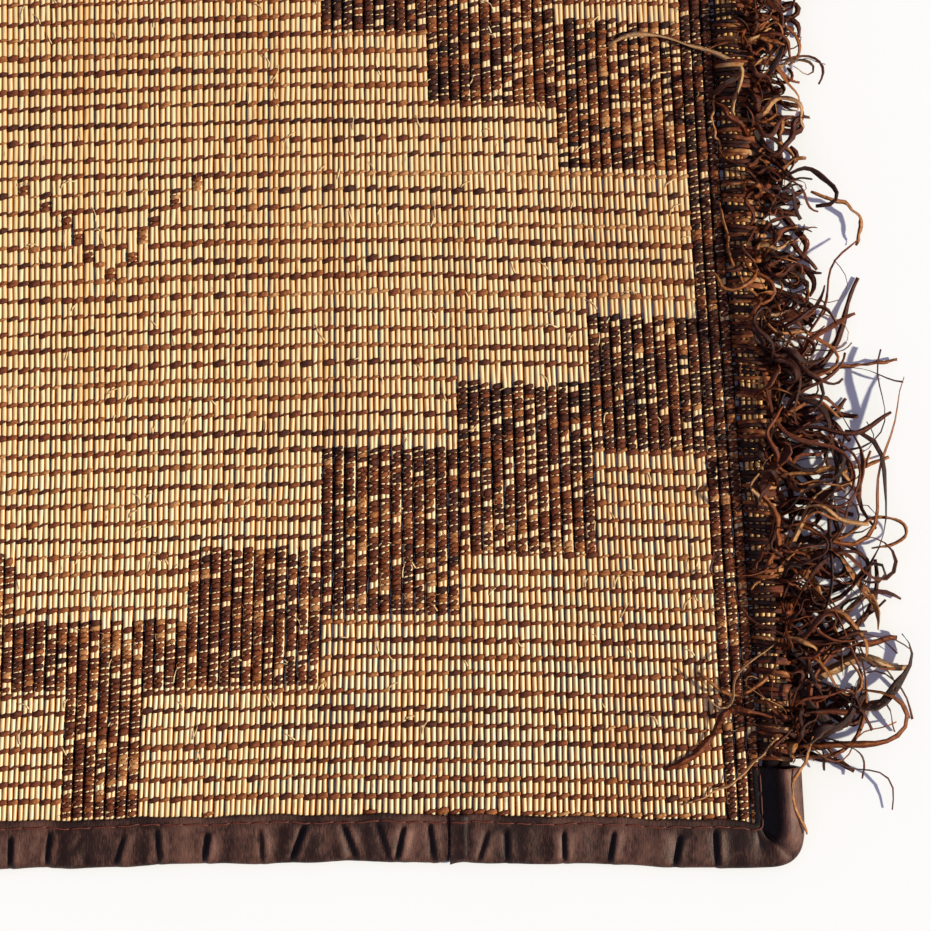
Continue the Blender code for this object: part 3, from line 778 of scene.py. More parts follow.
def sliver_strips(count):
    """Splinters of grass that lie loose on the stalks: thin strips along v at a small angle, bent a little."""
    rng = np.random.default_rng(101)
    t = np.linspace(0.0, 1.0, SLIVER_STATIONS)
    across = rng.uniform(-HALF_WIDTH + 0.02, HALF_WIDTH - 0.02, count)
    along = rng.uniform(-0.27, 0.27, count)
    heading = rng.normal(0.5 * math.pi, 0.5, (count, 1)) + rng.normal(0.0, 0.5, (count, 1)) * t
    reach = rng.uniform(2.5, 9.0, (count, 1)) * MM
    rise = 3.05 + rng.uniform(0.3, 1.4, (count, 1)) * t * (1.3 - t)
    centre, section = slivers(across, along, heading, reach, rise, 0.42 * MM * (1.0 - 0.5 * t))
    # The section is raised over its path, as high as a stalk's crown, so that splinters get the crown's paler
    # colour too, which is partly painted light
    section = section + np.array([0.0, CROWN_HEIGHT])
    centre[..., 2] -= CROWN_HEIGHT
    return carry(centre, *strip_frames(centre, np.zeros((count, 1))), section, rng.uniform(0.2, 1.0, count))


def strip_frames(centre, twist):
    """Directions across and up for free strips: level and upright ones, turned about the path by the twist."""
    ahead = unit(np.gradient(centre, axis=1))
    level = unit(np.cross(ahead, UP) + np.array([1e-6, 0.0, 0.0]))
    upright = np.cross(level, ahead)
    turn = np.broadcast_to(twist, centre.shape[:2])[..., None]
    return level * np.cos(turn) + upright * np.sin(turn), upright * np.cos(turn) - level * np.sin(turn)


def roll_place(side, out, height, along):
    """Points of the wrapped roll: out and height swell by two sines of v, and shrink under the caps."""
    x, y = warp(side * HALF_WIDTH, along)
    lumps = 1.0 + ROLL_LUMPS * np.sin(TAU * along / 0.083 + side)
    lumps = lumps + 0.6 * ROLL_LUMPS * np.sin(TAU * along / 0.037)
    squeeze = smooth((np.abs(along) - FRINGE_REACH + CAP_RUN) / CAP_RUN)
    lumps = lumps + (1.0 - CAP_SQUEEZE - lumps) * squeeze
    rise = ROLL_RISE + (1.0 - ROLL_RISE) * squeeze
    return np.stack([x + side * (GAP + out * lumps), y, height * lumps * rise + binding_rise(along)], -1)


def roll_outline(share):
    """Out and height of the roll's outline at a share of its run from the valley to the floor outside."""
    out, height = np.array(ROLL_OUT), np.array(ROLL_HEIGHT)
    run = np.concatenate([[0.0], np.cumsum(np.hypot(np.diff(out), np.diff(height)))])
    return np.interp(share * run[-1], run, out), np.interp(share * run[-1], run, height)


def roll_core(side):
    """The roll's inside, painted dark as shade: its outline drawn in by about a seventh and carried along v."""
    along = np.linspace(-ROLL_REACH, ROLL_REACH, ROLL_STATIONS)
    out, height = roll_outline(np.linspace(0.0, 1.0, 9))
    out = ROLL_MIDDLE + (out - ROLL_MIDDLE) * 0.86
    height = 0.0003 + height * 0.84
    rows = np.stack([roll_place(side, a, b, along) for a, b in zip(out, height)], axis=1)
    centre = roll_place(side, ROLL_MIDDLE, 0.003, along)
    offset = rows - centre[:, None]
    section = np.stack([offset[..., 0], offset[..., 2]], -1)
    return carry(centre[None], RIGHT, UP, section[None], np.array([0.1]))


def roll_stalks(side):
    """Four stalks in the roll, just under its outline, carried along v."""
    rng = np.random.default_rng(113 + side)
    along = np.linspace(-ROLL_REACH + 0.005, ROLL_REACH - 0.005, ROLL_STATIONS)
    out = np.array([2.9, 5.5, 8.1, 10.7]) * MM
    height = np.interp(out, ROLL_OUT[1:-1], ROLL_HEIGHT[1:-1]) - 0.95 * MM
    centre = np.stack([roll_place(side, a, b, along) for a, b in zip(out, height)])
    centre[..., 2] += waver(rng, 4, along, (0.05,), (0.1 * MM,))
    section = np.array(STALK_SECTION) * 1.2 * MM
    return carry(centre, RIGHT, UP, section, np.array([1.3, 1.5, 1.2, 1.4]))


def roll_wraps(side):
    """Flat thongs over the roll: each follows its outline from the valley outwards, widening as it goes."""
    rng = np.random.default_rng(131 + side)
    count = ROLL_WRAPS
    pitch = 2.0 * FRINGE_REACH / count
    start = -FRINGE_REACH + pitch * (np.arange(count) + 0.5) + rng.normal(0.0, 0.35 * MM, count)
    share = np.linspace(0.06, 0.97, 10)
    out, height = roll_outline(share)
    lean = rng.normal(-1.0, 1.3, (count, 1)) * MM
    along = start[:, None] + lean * share + waver(rng, count, share, (0.9,), (0.4 * MM,))
    proud = (0.45 + rng.uniform(0.0, 0.7, (count, 1)) * np.sin(math.pi * share) ** 2) * MM
    slope = np.gradient(height) / np.hypot(np.gradient(out), np.gradient(height))
    flat = np.gradient(out) / np.hypot(np.gradient(out), np.gradient(height))
    centre = roll_place(side, out - slope * proud, height + flat * proud, along)
    bare = rng.random((count, 1)) < 0.1
    wide = rng.uniform(0.95, 1.3, (count, 1)) + 0.3 * smooth((share - 0.4) / 0.3)
    wide = np.where(bare, 0.3 + 0.8 * smooth((share - 0.5) / 0.3), wide) * MM
    section = sized(THONG_SECTION, wide, 0.5 * MM)
    ahead = unit(np.gradient(centre, axis=1))
    level = unit(np.array([0.0, 1.0, 0.0]) - ahead * ahead[..., 1:2])
    outward = np.cross(level, ahead)
    facing = (outward * np.stack([-slope * side, 0 * slope, flat], -1)).sum(-1)
    outward = outward * np.where(facing < 0, -1, 1)[..., None]
    tone = 0.12 + 0.09 * rng.normal(size=count) + 0.4 * (rng.random(count) < 0.3)
    tones = tone[:, None] + 0.26 * smooth((share - 0.4) / 0.3) + 0.12 * rng.normal(size=(count, 10))
    return carry(centre, level, outward, section, np.clip(tones, 0.02, 0.95))


def strand_length(along, side):
    """Reach of the thong ends: longer in the lower half and at the top, ragged by a sine."""
    lower = smooth((-along - 0.03) / 0.05)
    upper = smooth((along - 0.11) / 0.08)
    reach = SHORT_STRAND + LOWER_STRAND_EXTRA * lower + UPPER_STRAND_EXTRA * upper
    return reach * (1.0 + 0.16 * np.sin(1900.0 * along + side))


def curled_paths(rng, t, reach, lean, swing, hooks):
    """Paths of curled strips on the floor's plane, seen from their roots: the way out and the way aside.

    The heading is a lean plus two sines of the run and a hook at the tip, the path is the running sum of its
    cosine and sine, and the whole path is scaled so that it gets as far out as its reach.
    """
    count = len(reach)
    heading = lean + swing * rng.uniform(0.3, 1.0, (count, 1)) * np.sin(
        TAU * (t * rng.uniform(0.4, 1.2, (count, 1)) + rng.random((count, 1)))
    )
    heading = heading + 0.4 * swing * rng.uniform(0.2, 1.0, (count, 1)) * np.sin(
        TAU * (t * rng.uniform(1.5, 2.8, (count, 1)) + rng.random((count, 1)))
    )
    hook = rng.choice((-1.0, 1.0), (count, 1)) * rng.uniform(0.6, 3.4, (count, 1))
    hook = hook * (rng.random((count, 1)) < hooks)
    heading = heading + hook * smooth((t - 0.55) / 0.45)
    ahead = np.cumsum(np.cos(heading), axis=1) - np.cos(heading[:, :1])
    aside = np.cumsum(np.sin(heading), axis=1) - np.sin(heading[:, :1])
    size = reach[:, None] / np.maximum(ahead.max(axis=1, keepdims=True), 0.42 * len(t))
    return ahead * size, aside * size


def fringe_strips(leather, side):
    """Thong ends: flat twisted strips that leave the roll's outer face, arch over one another and curl.

    A fifth of them are short and broad and lie low under the rest, painted dark as shade, and some bend back
    over the roll.
    """
    rng = np.random.default_rng(151 + side)
    count = leather.strand_count
    t = np.linspace(0.0, 1.0, STRAND_STATIONS)
    along = rng.uniform(-FRINGE_REACH, FRINGE_REACH, count)
    layer = rng.random(count)
    low, back = layer < LOW_STRANDS, layer > 1.0 - BACK_STRANDS
    ragged = np.where(low, rng.uniform(0.4, 0.8, count), rng.uniform(0.3, 1.03, count) ** 1.5)
    reach = strand_length(along, side) * np.where(back, 0.5 * ragged, ragged)
    lean = rng.normal(-0.15, 0.55, count) + np.where(back, rng.choice((-1.0, 1.0), count) * 1.25, 0.0)
    # Near the ends of the roll the strips turn in, away from the binding's caps
    lean = lean - 0.8 * np.sign(along) * smooth((np.abs(along) - 0.2) / 0.055)
    swing = np.where(low, 0.5, 1.1)[:, None]
    ahead, aside = curled_paths(rng, t, reach, lean[:, None], swing, 0.5)
    bend = np.where(back, 0.65, 0.0)[:, None] * reach[:, None]
    ahead = ahead - bend * smooth(t / 0.7)
    out = rng.uniform(0.0118, 0.0178, count)
    height = np.interp(out, ROLL_OUT[1:-1], ROLL_HEIGHT[1:-1]) * ROLL_RISE + 0.3 * MM
    root = roll_place(side, out, 0.0, along)
    start = np.where(low, 1.5 * MM, height * rng.uniform(0.35, 1.0, count))[:, None]
    tip = np.where(low, rng.uniform(0.9, 3.0, count), rng.uniform(0.9, 12.0, count))[:, None] * MM
    arch = np.where(low, rng.uniform(0.0, 2.0, count), rng.uniform(0.5, 8.5, count))[:, None] * MM
    arch = arch + np.where(back, 7.0 * MM, 0.0)[:, None]
    z = start + (tip - start) * t + arch * np.sin(math.pi * t ** 0.8)
    z = z + waver(rng, count, t, (0.55,), (0.8 * MM,))
    z = np.maximum(z, 0.8 * MM + 0.5 * MM * rng.random((count, 1)))
    over = smooth((0.0135 - (out[:, None] + ahead)) / 0.006)
    z = np.maximum(z, over * 10.2 * MM)
    centre = np.stack([root[:, :1] + side * ahead, root[:, 1:2] + aside, z], -1)
    centre[..., 1] = np.clip(centre[..., 1], -STRAND_LIMIT, STRAND_LIMIT)
    twist = rng.uniform(0.0, TAU, (count, 1)) + rng.normal(0.0, 2.2, (count, 1)) * t
    twist = np.where(low[:, None], 0.2 * np.sin(twist), twist)
    cuts = rng.choice((0.6, 0.95, 1.35, 2.1), (count, 1), p=(0.24, 0.38, 0.31, 0.07))
    wide = leather.strand_width / 2 * cuts
    wide = np.where(low[:, None], 1.7 * MM, wide)
    wide = wide * (1.0 - 0.45 * t ** 3) * (1.0 + waver(rng, count, t, (0.4, 0.17), (0.14, 0.1)))
    thick = np.minimum(wide, rng.uniform(0.24, 0.42, (count, 1)) * MM)
    centre[..., 2] = np.maximum(centre[..., 2], np.where(low[:, None], 0.8 * MM, wide + 0.2 * MM))
    section = sized(STRIP_SECTION, wide, thick)
    tone = rng.choice((0.08, 0.22, 0.4, 0.64), count, p=(0.38, 0.32, 0.18, 0.12))
    # Painted shade: the low strips under the rest get the darkest tone
    tone = np.where(low, 0.04, tone + rng.normal(0.0, 0.05, count))
    tones = tone[:, None, None] + 0.12 * t[:, None] + np.array(EDGE_TONES)
    return carry(centre, *strip_frames(centre, twist), section, np.clip(tones, 0.02, 0.95))


# Thong ends that lie loose on the mat: half width and thickness in mm, tone, then x, y and height in mm
LOOSE_THONGS = (
    (1.2, 0.5, 0.74, (251, 99, 4.6), (262, 104, 5.5), (275, 103, 6.2), (290, 99, 6.5), (304, 94, 7.5),
     (318, 87, 10.5), (317, 79, 11.5), (314, 69, 10.5), (311.5, 58.5, 10)),
    (0.6, 0.4, 0.6, (305, 74, 5.6), (303.5, 66, 5.8), (303.5, 58, 5.4), (306, 51, 5.2), (308, 46, 4.8)),
    (0.7, 0.4, 0.5, (306.5, 20, 5.2), (310, 8, 6.6), (311, -4, 8.2), (315, -16.5, 9.6), (323, -26, 9.8),
     (332.5, -33, 9.0)),
    (0.7, 0.4, 0.56, (322, -173, 8.6), (330, -167, 9.4), (339, -160, 10.2), (347.5, -150, 11.0)),
    (0.65, 0.4, 0.72, (337, -244, 12.5), (332, -250, 12), (325, -258, 11.5), (318, -265.5, 9.5),
     (308.5, -273, 6.4), (299, -277.5, 5.2), (288, -281, 4.9)),
    (2.0, 0.5, 0.3, (280, -263, 4.8), (291, -259, 5.2), (301, -251, 6.0), (306, -240, 7.2), (311, -233, 8.2),
     (322, -234, 9.4), (335, -238, 9.6)),
    (1.4, 0.5, 0.8, (306, -227, 6.6), (307.5, -233, 7.0), (310, -239, 7.4)),
    (0.9, 0.5, 0.58, (352, -246, 13.5), (350, -256, 14), (345, -264, 13.2), (341, -272, 12.4),
     (344, -282, 12.2), (350, -295, 9.0)),
    (1.0, 0.45, 0.46, (300, 96, 6.6), (314, 100, 9), (326, 101, 11), (338, 97, 12)),
    (1.5, 0.5, 0.42, (322, -120, 9.2), (330, -128, 10), (336, -140, 11), (335, -153, 11), (329, -164, 9.8)),
    (0.9, 0.4, 0.5, (352, -146, 8), (367.5, -149, 9), (376, -142, 10), (382.5, -137.5, 10.5),
     (394, -136.5, 9.5), (401, -142.5, 7.5), (399, -149, 6.5), (391.5, -151.5, 6), (382.5, -153, 6)),
    (1.2, 0.4, 0.5, (350, -121, 8), (362, -117, 7), (375, -113, 5), (391.5, -108, 3)),
    (1.0, 0.4, 0.4, (352, -68, 7), (362, -64, 6), (373, -61.5, 5), (385, -61, 4), (396, -58.5, 2.5)),
    (1.1, 0.4, 0.56, (352, 24, 8), (363, 21, 8), (370, 18.5, 7), (376.5, 13.5, 6), (378, 6, 5),
     (375, -1.5, 3)),
)
LOOSE_STATIONS = 28
SMOOTHINGS = 4


def loose_strips():
    """The loose thongs: flat strips along a smooth curve near each one's points, turning a little about it."""
    rng = np.random.default_rng(173)
    centres, sizes, tones = [], [], []
    for half, thick, tone, *points in LOOSE_THONGS:
        points = np.array(points, float) * MM
        spot = np.linspace(0.0, len(points) - 1.0, LOOSE_STATIONS)
        path = np.stack([np.interp(spot, np.arange(len(points)), points[:, k]) for k in range(3)], -1)
        for _ in range(SMOOTHINGS):
            path[1:-1] = (path[:-2] + 2.0 * path[1:-1] + path[2:]) / 4.0
        centres.append(path)
        sizes.append((half * MM, thick * MM))
        tones.append(tone)
    centre = np.array(centres)
    t = np.linspace(0.0, 1.0, LOOSE_STATIONS)
    centre[..., 0] += waver(rng, len(centre), t, (0.31, 0.17), (0.5 * MM, 0.25 * MM))
    centre[..., 1] += waver(rng, len(centre), t, (0.37, 0.19), (0.4 * MM, 0.25 * MM))
    twist = 0.6 * waver(rng, len(centre), t, (0.9, 0.35), (1.0, 0.5))
    uneven = 1.0 + waver(rng, len(centre), t, (0.23, 0.11), (0.12, 0.1))
    swell = (1.0 - 0.35 * np.abs(2.0 * t - 1.0) ** 5) * uneven
    shape = np.array(sizes)[:, None, :] * swell[..., None]
    section = np.array(STRIP_SECTION) * shape[:, :, None, :]
    tones = np.array(tones)[:, None, None] + np.array(EDGE_TONES)
    return carry(centre, *strip_frames(centre, twist), section, tones)


# Top of the folded binding, from its inner edge outwards: shares of the width, then pairs of a share and the
# height there in mm, on the plain mat and over the roll
TOP_SHARES = (0.0, 0.035, 0.08, 0.12, 0.15, 0.18, 0.23, 0.3, 0.38, 0.47, 0.56, 0.65, 0.74, 0.82, 0.89)
TOP_PLAIN = (
    (0.0, 5.5), (0.04, 5.95), (0.09, 6.1), (0.15, 5.75), (0.22, 6.2), (0.5, 6.6), (0.8, 6.2), (0.89, 5.6)
)
TOP_CAPPED = (
    (0.0, 5.4), (0.06, 5.7), (0.2, 5.5), (0.32, 5.7), (0.42, 6.4), (0.5, 9.6), (0.56, 12.6), (0.66, 13.4),
    (0.78, 11.9), (0.89, 9.0),
)
STITCH_COLUMN = 4
# Sides of the section from the top's outer edge round the nose to the inner edge of the flap
FOLD_SIDES = 7
STITCH_SHORT = 0.008
STITCH_LONG = 0.013
THREAD_RADIUS = 0.42 * MM
THREAD_CORNERS = 5
BINDING_MIDDLE = 0.012
DENT_SPACING = 0.011
# Deep creases of the lower binding, as places across in mm
VALLEYS = (-47, -28, 8.5, 26.5, 51, 78, 97, 122, 138.5, 148, 163, 190, 200.5, 229, 253.5, 286.5, 305)


def crease_field(rng, run, share, middles, turn):
    """Creases across the folded leather: valleys exp(-|x| / width), each with a long and a short side.

    Small soft bells between them are the hand's dents, and a broad sum of sines is the slack of the leather.
    turn is 1 or -1 and says on which side of the middle the short, steep side lies, with its raised lip.
    """
    total = np.zeros((len(run), len(share)))
    for middle in middles:
        width = rng.uniform(1.6, 3.2) * MM
        depth = rng.uniform(1.2, 2.3) * MM
        window = smooth((share - rng.uniform(0.13, 0.3)) / 0.14) * (1.0 - 0.4 * smooth((share - 0.82) / 0.08))
        away = (run[:, None] - middle - rng.normal(0.0, 0.0035) * (share - 0.5)) * turn
        total -= depth * np.exp(-np.abs(away) / np.where(away < 0.0, width, 0.55 * MM)) * window
        total += 0.35 * depth * np.exp(-(((away - 2.6 * MM) / (2.2 * MM)) ** 2)) * window
    for _ in range(int((run[-1] - run[0]) / DENT_SPACING)):
        middle = run[0] + (run[-1] - run[0]) * rng.random()
        away = run[:, None] - middle - rng.normal(0.0, 0.006) * (share - 0.5)
        low, high = sorted(rng.uniform(0.1, 1.15, 2))
        window = smooth((share - low) / 0.12) * smooth((high - share) / 0.12)
        total += rng.normal(0.0, 0.3) * MM * np.exp(-((away / (rng.uniform(0.8, 2.4) * MM)) ** 2)) * window
    broad = waver(rng, 1, run[None], (0.041, 0.023, 0.0137), (0.3 * MM, 0.26 * MM, 0.18 * MM))[0]
    return total + broad[:, None] * smooth((share - 0.12) / 0.2)


def crease_middles(rng, origin, direction, run):
    """Where the deep creases lie along the run: the lower end's charted ones, and others 9 to 26 mm apart."""
    if direction[len(run) // 2, 1] < 0.0:
        order = np.argsort(origin[:, 0])
        charted = np.array(VALLEYS) * MM
        inside = (charted > origin[:, 0].min()) & (charted < origin[:, 0].max())
        found = list(np.interp(charted[inside], origin[order, 0], run[order]))
        free_end = np.interp(VALLEYS[0] * MM, origin[order, 0], run[order])
    else:
        found, free_end = [], run[-1]
    places = np.cumsum(rng.uniform(0.009, 0.026, 60))
    return found + [place for place in places if place < free_end - 0.008]


def binding_stations(kind, side, end):
    """Stations of a strip: their origins and directions on the floor, how far they are a cap, and the reach.

    On a corner the reach is that of a superellipse with the cap's and the plain width as half axes.
    """
    if kind == "corner":
        bearing = np.radians(np.linspace(0.0, 88.0, CORNER_STATIONS))
        direction = np.stack([side * np.sin(bearing), end * np.cos(bearing)], -1)
        squared = np.abs(np.sin(bearing) / CAP_WIDTH) ** CORNER_POWER
        squared = squared + np.abs(np.cos(bearing) / BINDING_WIDTH) ** CORNER_POWER
        reach = squared ** (-1.0 / CORNER_POWER) - INNER_CORNER_RADIUS
        origin = np.array(corner_centre(side, end)) + INNER_CORNER_RADIUS * direction
        return origin, direction, smooth(np.degrees(bearing) / 90.0), reach
    share = np.linspace(0.05, 1.0, CAP_STATIONS)
    along = BINDING_INNER - CAP_OVERLAP + (CAP_REACH - BINDING_INNER + CAP_OVERLAP) * share
    x, y = warp(side * HALF_WIDTH, end * along)
    origin = np.stack([x - side * (CAP_OVER_FIELD - INNER_CORNER_RADIUS), y], -1)
    ones = np.ones(len(along))
    return origin, ones[:, None] * np.array([float(side), 0.0]), ones, ones * (CAP_WIDTH - INNER_CORNER_RADIUS)


def corner_centre(side, end):
    """Inner corner of the cap, a little way in over the edge of the weave."""
    x, y = warp(side * HALF_WIDTH, end * BINDING_INNER)
    return x - side * CAP_OVER_FIELD, y


def straight_stations(end, first, last, step):
    """Stations along the straight edge, one a step. The place across is found by repeating x + place - warp."""
    count = int(abs(last - first) / step)
    place = np.linspace(first, last, count)
    across = place.copy()
    for _ in range(WARP_STEPS):
        across = across + place - warp(across, end * BINDING_INNER)[0]
    origin = np.stack([place, warp(across, end * BINDING_INNER)[1]], -1)
    direction = np.broadcast_to([0.0, float(end)], origin.shape)
    return origin, direction, np.zeros(count), np.full(count, BINDING_WIDTH)


def joined(stretches):
    """Stations of several stretches, one after the other."""
    return [np.concatenate(rows) for rows in zip(*stretches)]


def reversed_stations(stations):
    """The same stations from the other end."""
    return [rows[::-1] for rows in stations]


def fold_strip(stations, seed, lap=0):
    """Folded leather: its section is the creased top, a round nose, the flap under the mat, and the inside.

    The result is the strip, the line that its stitches follow, and the width of the leather laid flat.
    """
    rng = np.random.default_rng(seed)
    origin, direction, cap, reach = stations
    share = np.array(TOP_SHARES)
    run = run_along(origin + direction * BINDING_MIDDLE)
    turn = np.sign(origin[-1, 0] - origin[0, 0])
    creases = crease_field(rng, run, share, crease_middles(rng, origin, direction, run), turn)
    creases = creases * (1.0 - 0.6 * cap[:, None])
    plain = np.interp(share, *zip(*TOP_PLAIN)) * MM
    capped = np.interp(share, *zip(*TOP_CAPPED)) * MM
    mitre = np.exp(-(((cap - 0.55) / 0.1) ** 2))[:, None] * smooth((share - 0.12) / 0.25)
    top = plain + (capped - plain) * smooth(cap)[:, None] ** 1.3 + creases - 2.2 * MM * mitre
    near = run if lap > 0 else run[-1] - run
    start = np.maximum(0.0, 1.0 - near / 0.008)
    reach = reach + waver(rng, 1, run[None], (0.083, 0.031), (0.45 * MM, 0.2 * MM))[0] * (1.0 - cap)
    reach = reach + 0.35 * creases.mean(axis=1) * (1.0 - cap)
    if lap > 0:
        top = top + LAP_RISE * smooth((LAP_LENGTH - run) / 0.002)[:, None]
        reach = reach + 1.9 * MM * start ** 1.5
    if lap < 0:
        reach = reach - 1.1 * MM * start
    inner_edge = waver(rng, 1, run[None], (0.061, 0.024), (0.45 * MM, 0.25 * MM))[0] * (1.0 - cap)
    reach = reach[:, None]
    out = inner_edge[:, None] * (1.0 - share) + share * reach
    nose = (2.6 + 2.2 * cap)[:, None] * MM
    low = np.full_like(reach, 0.03 * MM)
    edge = top[:, -1:]
    fold_out = [0.955 * reach, reach - 0.25 * MM, reach, reach - 0.4 * MM, reach - 1.5 * MM]
    fold_up = [0.75 * edge + 0.25 * nose, 0.4 * edge + 0.6 * nose, nose, 0.4 * nose, low]
    flap_out = [0.5 * reach, low + 1.5 * MM, low + 1.5 * MM, 0.5 * reach, reach - 2.7 * MM, reach - 1.5 * MM]
    flap_up = [low, low, low + LEATHER, low + LEATHER, low + LEATHER, nose]
    inside = [5, 8, 9, 11]
    back_out = [0.97 * out[:, k:k + 1] for k in inside[::-1]] + [out[:, :1]]
    back_up = [top[:, k:k + 1] - LEATHER for k in inside[::-1]] + [top[:, :1] - 0.7 * LEATHER]
    section_out = np.concatenate([out, *fold_out, *flap_out, *back_out], axis=1)
    section_up = np.concatenate([top, *fold_up, *flap_up, *back_up], axis=1)
    centre = np.concatenate([origin, np.zeros((len(origin), 1))], axis=1)[None]
    across = np.concatenate([direction, np.zeros((len(origin), 1))], axis=1)[None]
    # Painted light and shade: the long sides of creases, which face +X, are painted pale as light, their steep
    # sides and valleys dark as shade, and each cap dark on its inner half as shadow and pale on its outer half
    # as light
    painted_light = np.zeros(section_out.shape)
    steep = np.gradient(creases, run, axis=0) * turn
    painted_light[:, :len(share)] = 40.0 * creases + 0.3 * np.clip(-steep, 0.0, 1.0) - 0.5 * np.clip(steep, 0.0, 1.0)
    painted_light[:, :len(share)] += cap[:, None] * (0.5 * smooth((share - 0.5) / 0.08) - 0.36)
    tone = 0.13 + painted_light + waver(rng, 1, run[None], (0.11, 0.037), (0.06, 0.05))[0][:, None]
    section = np.stack([section_out, section_up], -1)[None]
    strips = carry(centre, across, UP, section, tone[None])
    line = centre[0] + across[0] * out[:, STITCH_COLUMN, None]
    line = line + np.array(UP) * (top[:, STITCH_COLUMN, None] + 0.15 * MM)
    sides = np.hypot(np.diff(section_out), np.diff(section_up))
    flat_width = sides[:, :len(TOP_SHARES) - 1 + FOLD_SIDES].sum(axis=1).mean()
    return strips, line, (float(flat_width), float(run[-1]))


def stitch_strips(lines, seed):
    """Running stitches: each covers 8 to 13 mm of its line as an arch that starts and ends in the leather."""
    rng = np.random.default_rng(seed)
    t = np.linspace(0.0, 1.0, 8)
    centres = []
    for line in lines:
        run = run_along(line)
        size = rng.uniform(STITCH_SHORT, STITCH_LONG, int(run[-1] / STITCH_SHORT) + 2)
        start = np.concatenate([[0.0], np.cumsum(size + rng.uniform(0.1, 0.5, len(size)) * MM)[:-1]])
        for low, span in zip(start, size):
            if low + span < run[-1]:
                path = np.stack([np.interp(low + span * t, run, line[:, k]) for k in range(3)], -1)
                path[:, 2] += 0.26 * MM - 0.7 * MM * np.abs(2.0 * t - 1.0) ** 8
                centres.append(path)
    centre = np.array(centres)
    centre[..., 1] += waver(rng, len(centre), t, (0.9,), (0.25 * MM,))
    around = TAU * np.arange(THREAD_CORNERS) / THREAD_CORNERS
    section = np.stack([np.cos(around), np.sin(around)], -1) * THREAD_RADIUS
    return carry(centre, *strip_frames(centre, np.zeros((len(centre), 1))), section, np.full(len(centre), 0.5))


class GRASSMAT_OT_lay_stalks(bpy.types.Operator):
    """Lays the split grass stalks of the weave side by side, with a few loose splinters"""

    bl_idname = "grassmat.lay_stalks"
    bl_label = "Lay stalks"

    def execute(self, context):
        weave = context.scene.grassmat_weave
        grass = split_grass(weave)
        make_piece("stalks", [(stalk_strips(weave), grass)])
        make_piece("splinters", [(sliver_strips(SPLINTER_COUNT), grass)])
        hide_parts("mat_field")
        return {"FINISHED"}


class GRASSMAT_OT_twine_thongs(bpy.types.Operator):
    """Twines the rows of narrow thongs over and under the pairs of stalks"""

    bl_idname = "grassmat.twine_thongs"
    bl_label = "Twine thongs"

    def execute(self, context):
        weave = context.scene.grassmat_weave
        thong = goat_thong(context.scene.grassmat_leather, "twined_goat_thong", ALONG_STRIP, NO_PAINTED_SHADE)
        make_piece("twining_top", [(twist_strips(weave, 0), thong)])
        make_piece("twining_under", [(twist_strips(weave, 1), thong)])
        return {"FINISHED"}


class GRASSMAT_OT_wrap_pattern(bpy.types.Operator):
    """Wraps the pairs of stalks of the stepped pattern and of the borders in leather"""

    bl_idname = "grassmat.wrap_pattern"
    bl_label = "Wrap pattern"

    def execute(self, context):
        weave = context.scene.grassmat_weave
        wrap = goat_thong(context.scene.grassmat_leather, "wrapped_goat_thong", ROUND_STALKS, 1.2 * MM)
        strip = goat_thong(context.scene.grassmat_leather, "curled_goat_strip", ALONG_STRIP, NO_PAINTED_SHADE)
        for name, side in (("wraps_left", -1), ("wraps_right", 1)):
            parts = [(wrap_strips(weave, side), wrap), (fray_strips(weave, side, FRAY_COUNT), strip)]
            make_piece(name, parts)
        return {"FINISHED"}


class GRASSMAT_OT_roll_sides(bpy.types.Operator):
    """Makes the wrapped roll of stalks along both sides"""

    bl_idname = "grassmat.roll_sides"
    bl_label = "Roll sides"

    def execute(self, context):
        weave = context.scene.grassmat_weave
        leather = context.scene.grassmat_leather
        thong = goat_thong(leather, "twined_goat_thong", ALONG_STRIP, NO_PAINTED_SHADE)
        # The roll's inside is painted dark, as shade
        core_shade = goat_thong(leather, "rolled_core_painted_shade", ALONG_STRIP, 1.0)
        for name, side in (("roll_left", -1), ("roll_right", 1)):
            parts = [(roll_core(side), core_shade), (roll_wraps(side), thong)]
            make_piece(name, parts + [(roll_stalks(side), split_grass(weave))])
        return {"FINISHED"}


class GRASSMAT_OT_hang_fringe(bpy.types.Operator):
    """Lets the curled thong ends out of both rolls, and lays the loose ones over the mat"""

    bl_idname = "grassmat.hang_fringe"
    bl_label = "Hang fringe"

    def execute(self, context):
        leather = context.scene.grassmat_leather
        strip = goat_thong(leather, "curled_goat_strip", ALONG_STRIP, NO_PAINTED_SHADE)
        for name, side in (("fringe_strips_left", -1), ("fringe_strips_right", 1)):
            piece = make_piece(name, [(fringe_strips(leather, side), strip)])
            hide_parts("fringe_right" if side > 0 else "fringe_left")
        make_piece("loose_thongs", [(loose_strips(), strip)])
        return {"FINISHED"}


class GRASSMAT_OT_fold_bindings(bpy.types.Operator):
    """Folds and sews the leather bindings of both ends, with their corner caps"""

    bl_idname = "grassmat.fold_bindings"
    bl_label = "Fold bindings"

    def execute(self, context):
        leather = context.scene.grassmat_leather
        hide, thread = bound_goat_leather(leather), waxed_thread(leather)
        for end in (-1, 1):
            lines = []
            for name, stations, seed, lap in bindings(end):
                strip, line, flat = fold_strip(stations, seed, lap)
                piece = make_piece(name + "_leather", [(strip, hide)])
                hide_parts(name)
                lines.append(line)
            name = "stitches_lower" if end < 0 else "stitches_upper"
            make_piece(name, [(stitch_strips(lines, 191 + end), thread)])
        return {"FINISHED"}


def turn_corner(side, end):
    """Stations from the straight edge round the corner to the end of the cap."""
    return joined([binding_stations("corner", side, end), binding_stations("side", side, end)])


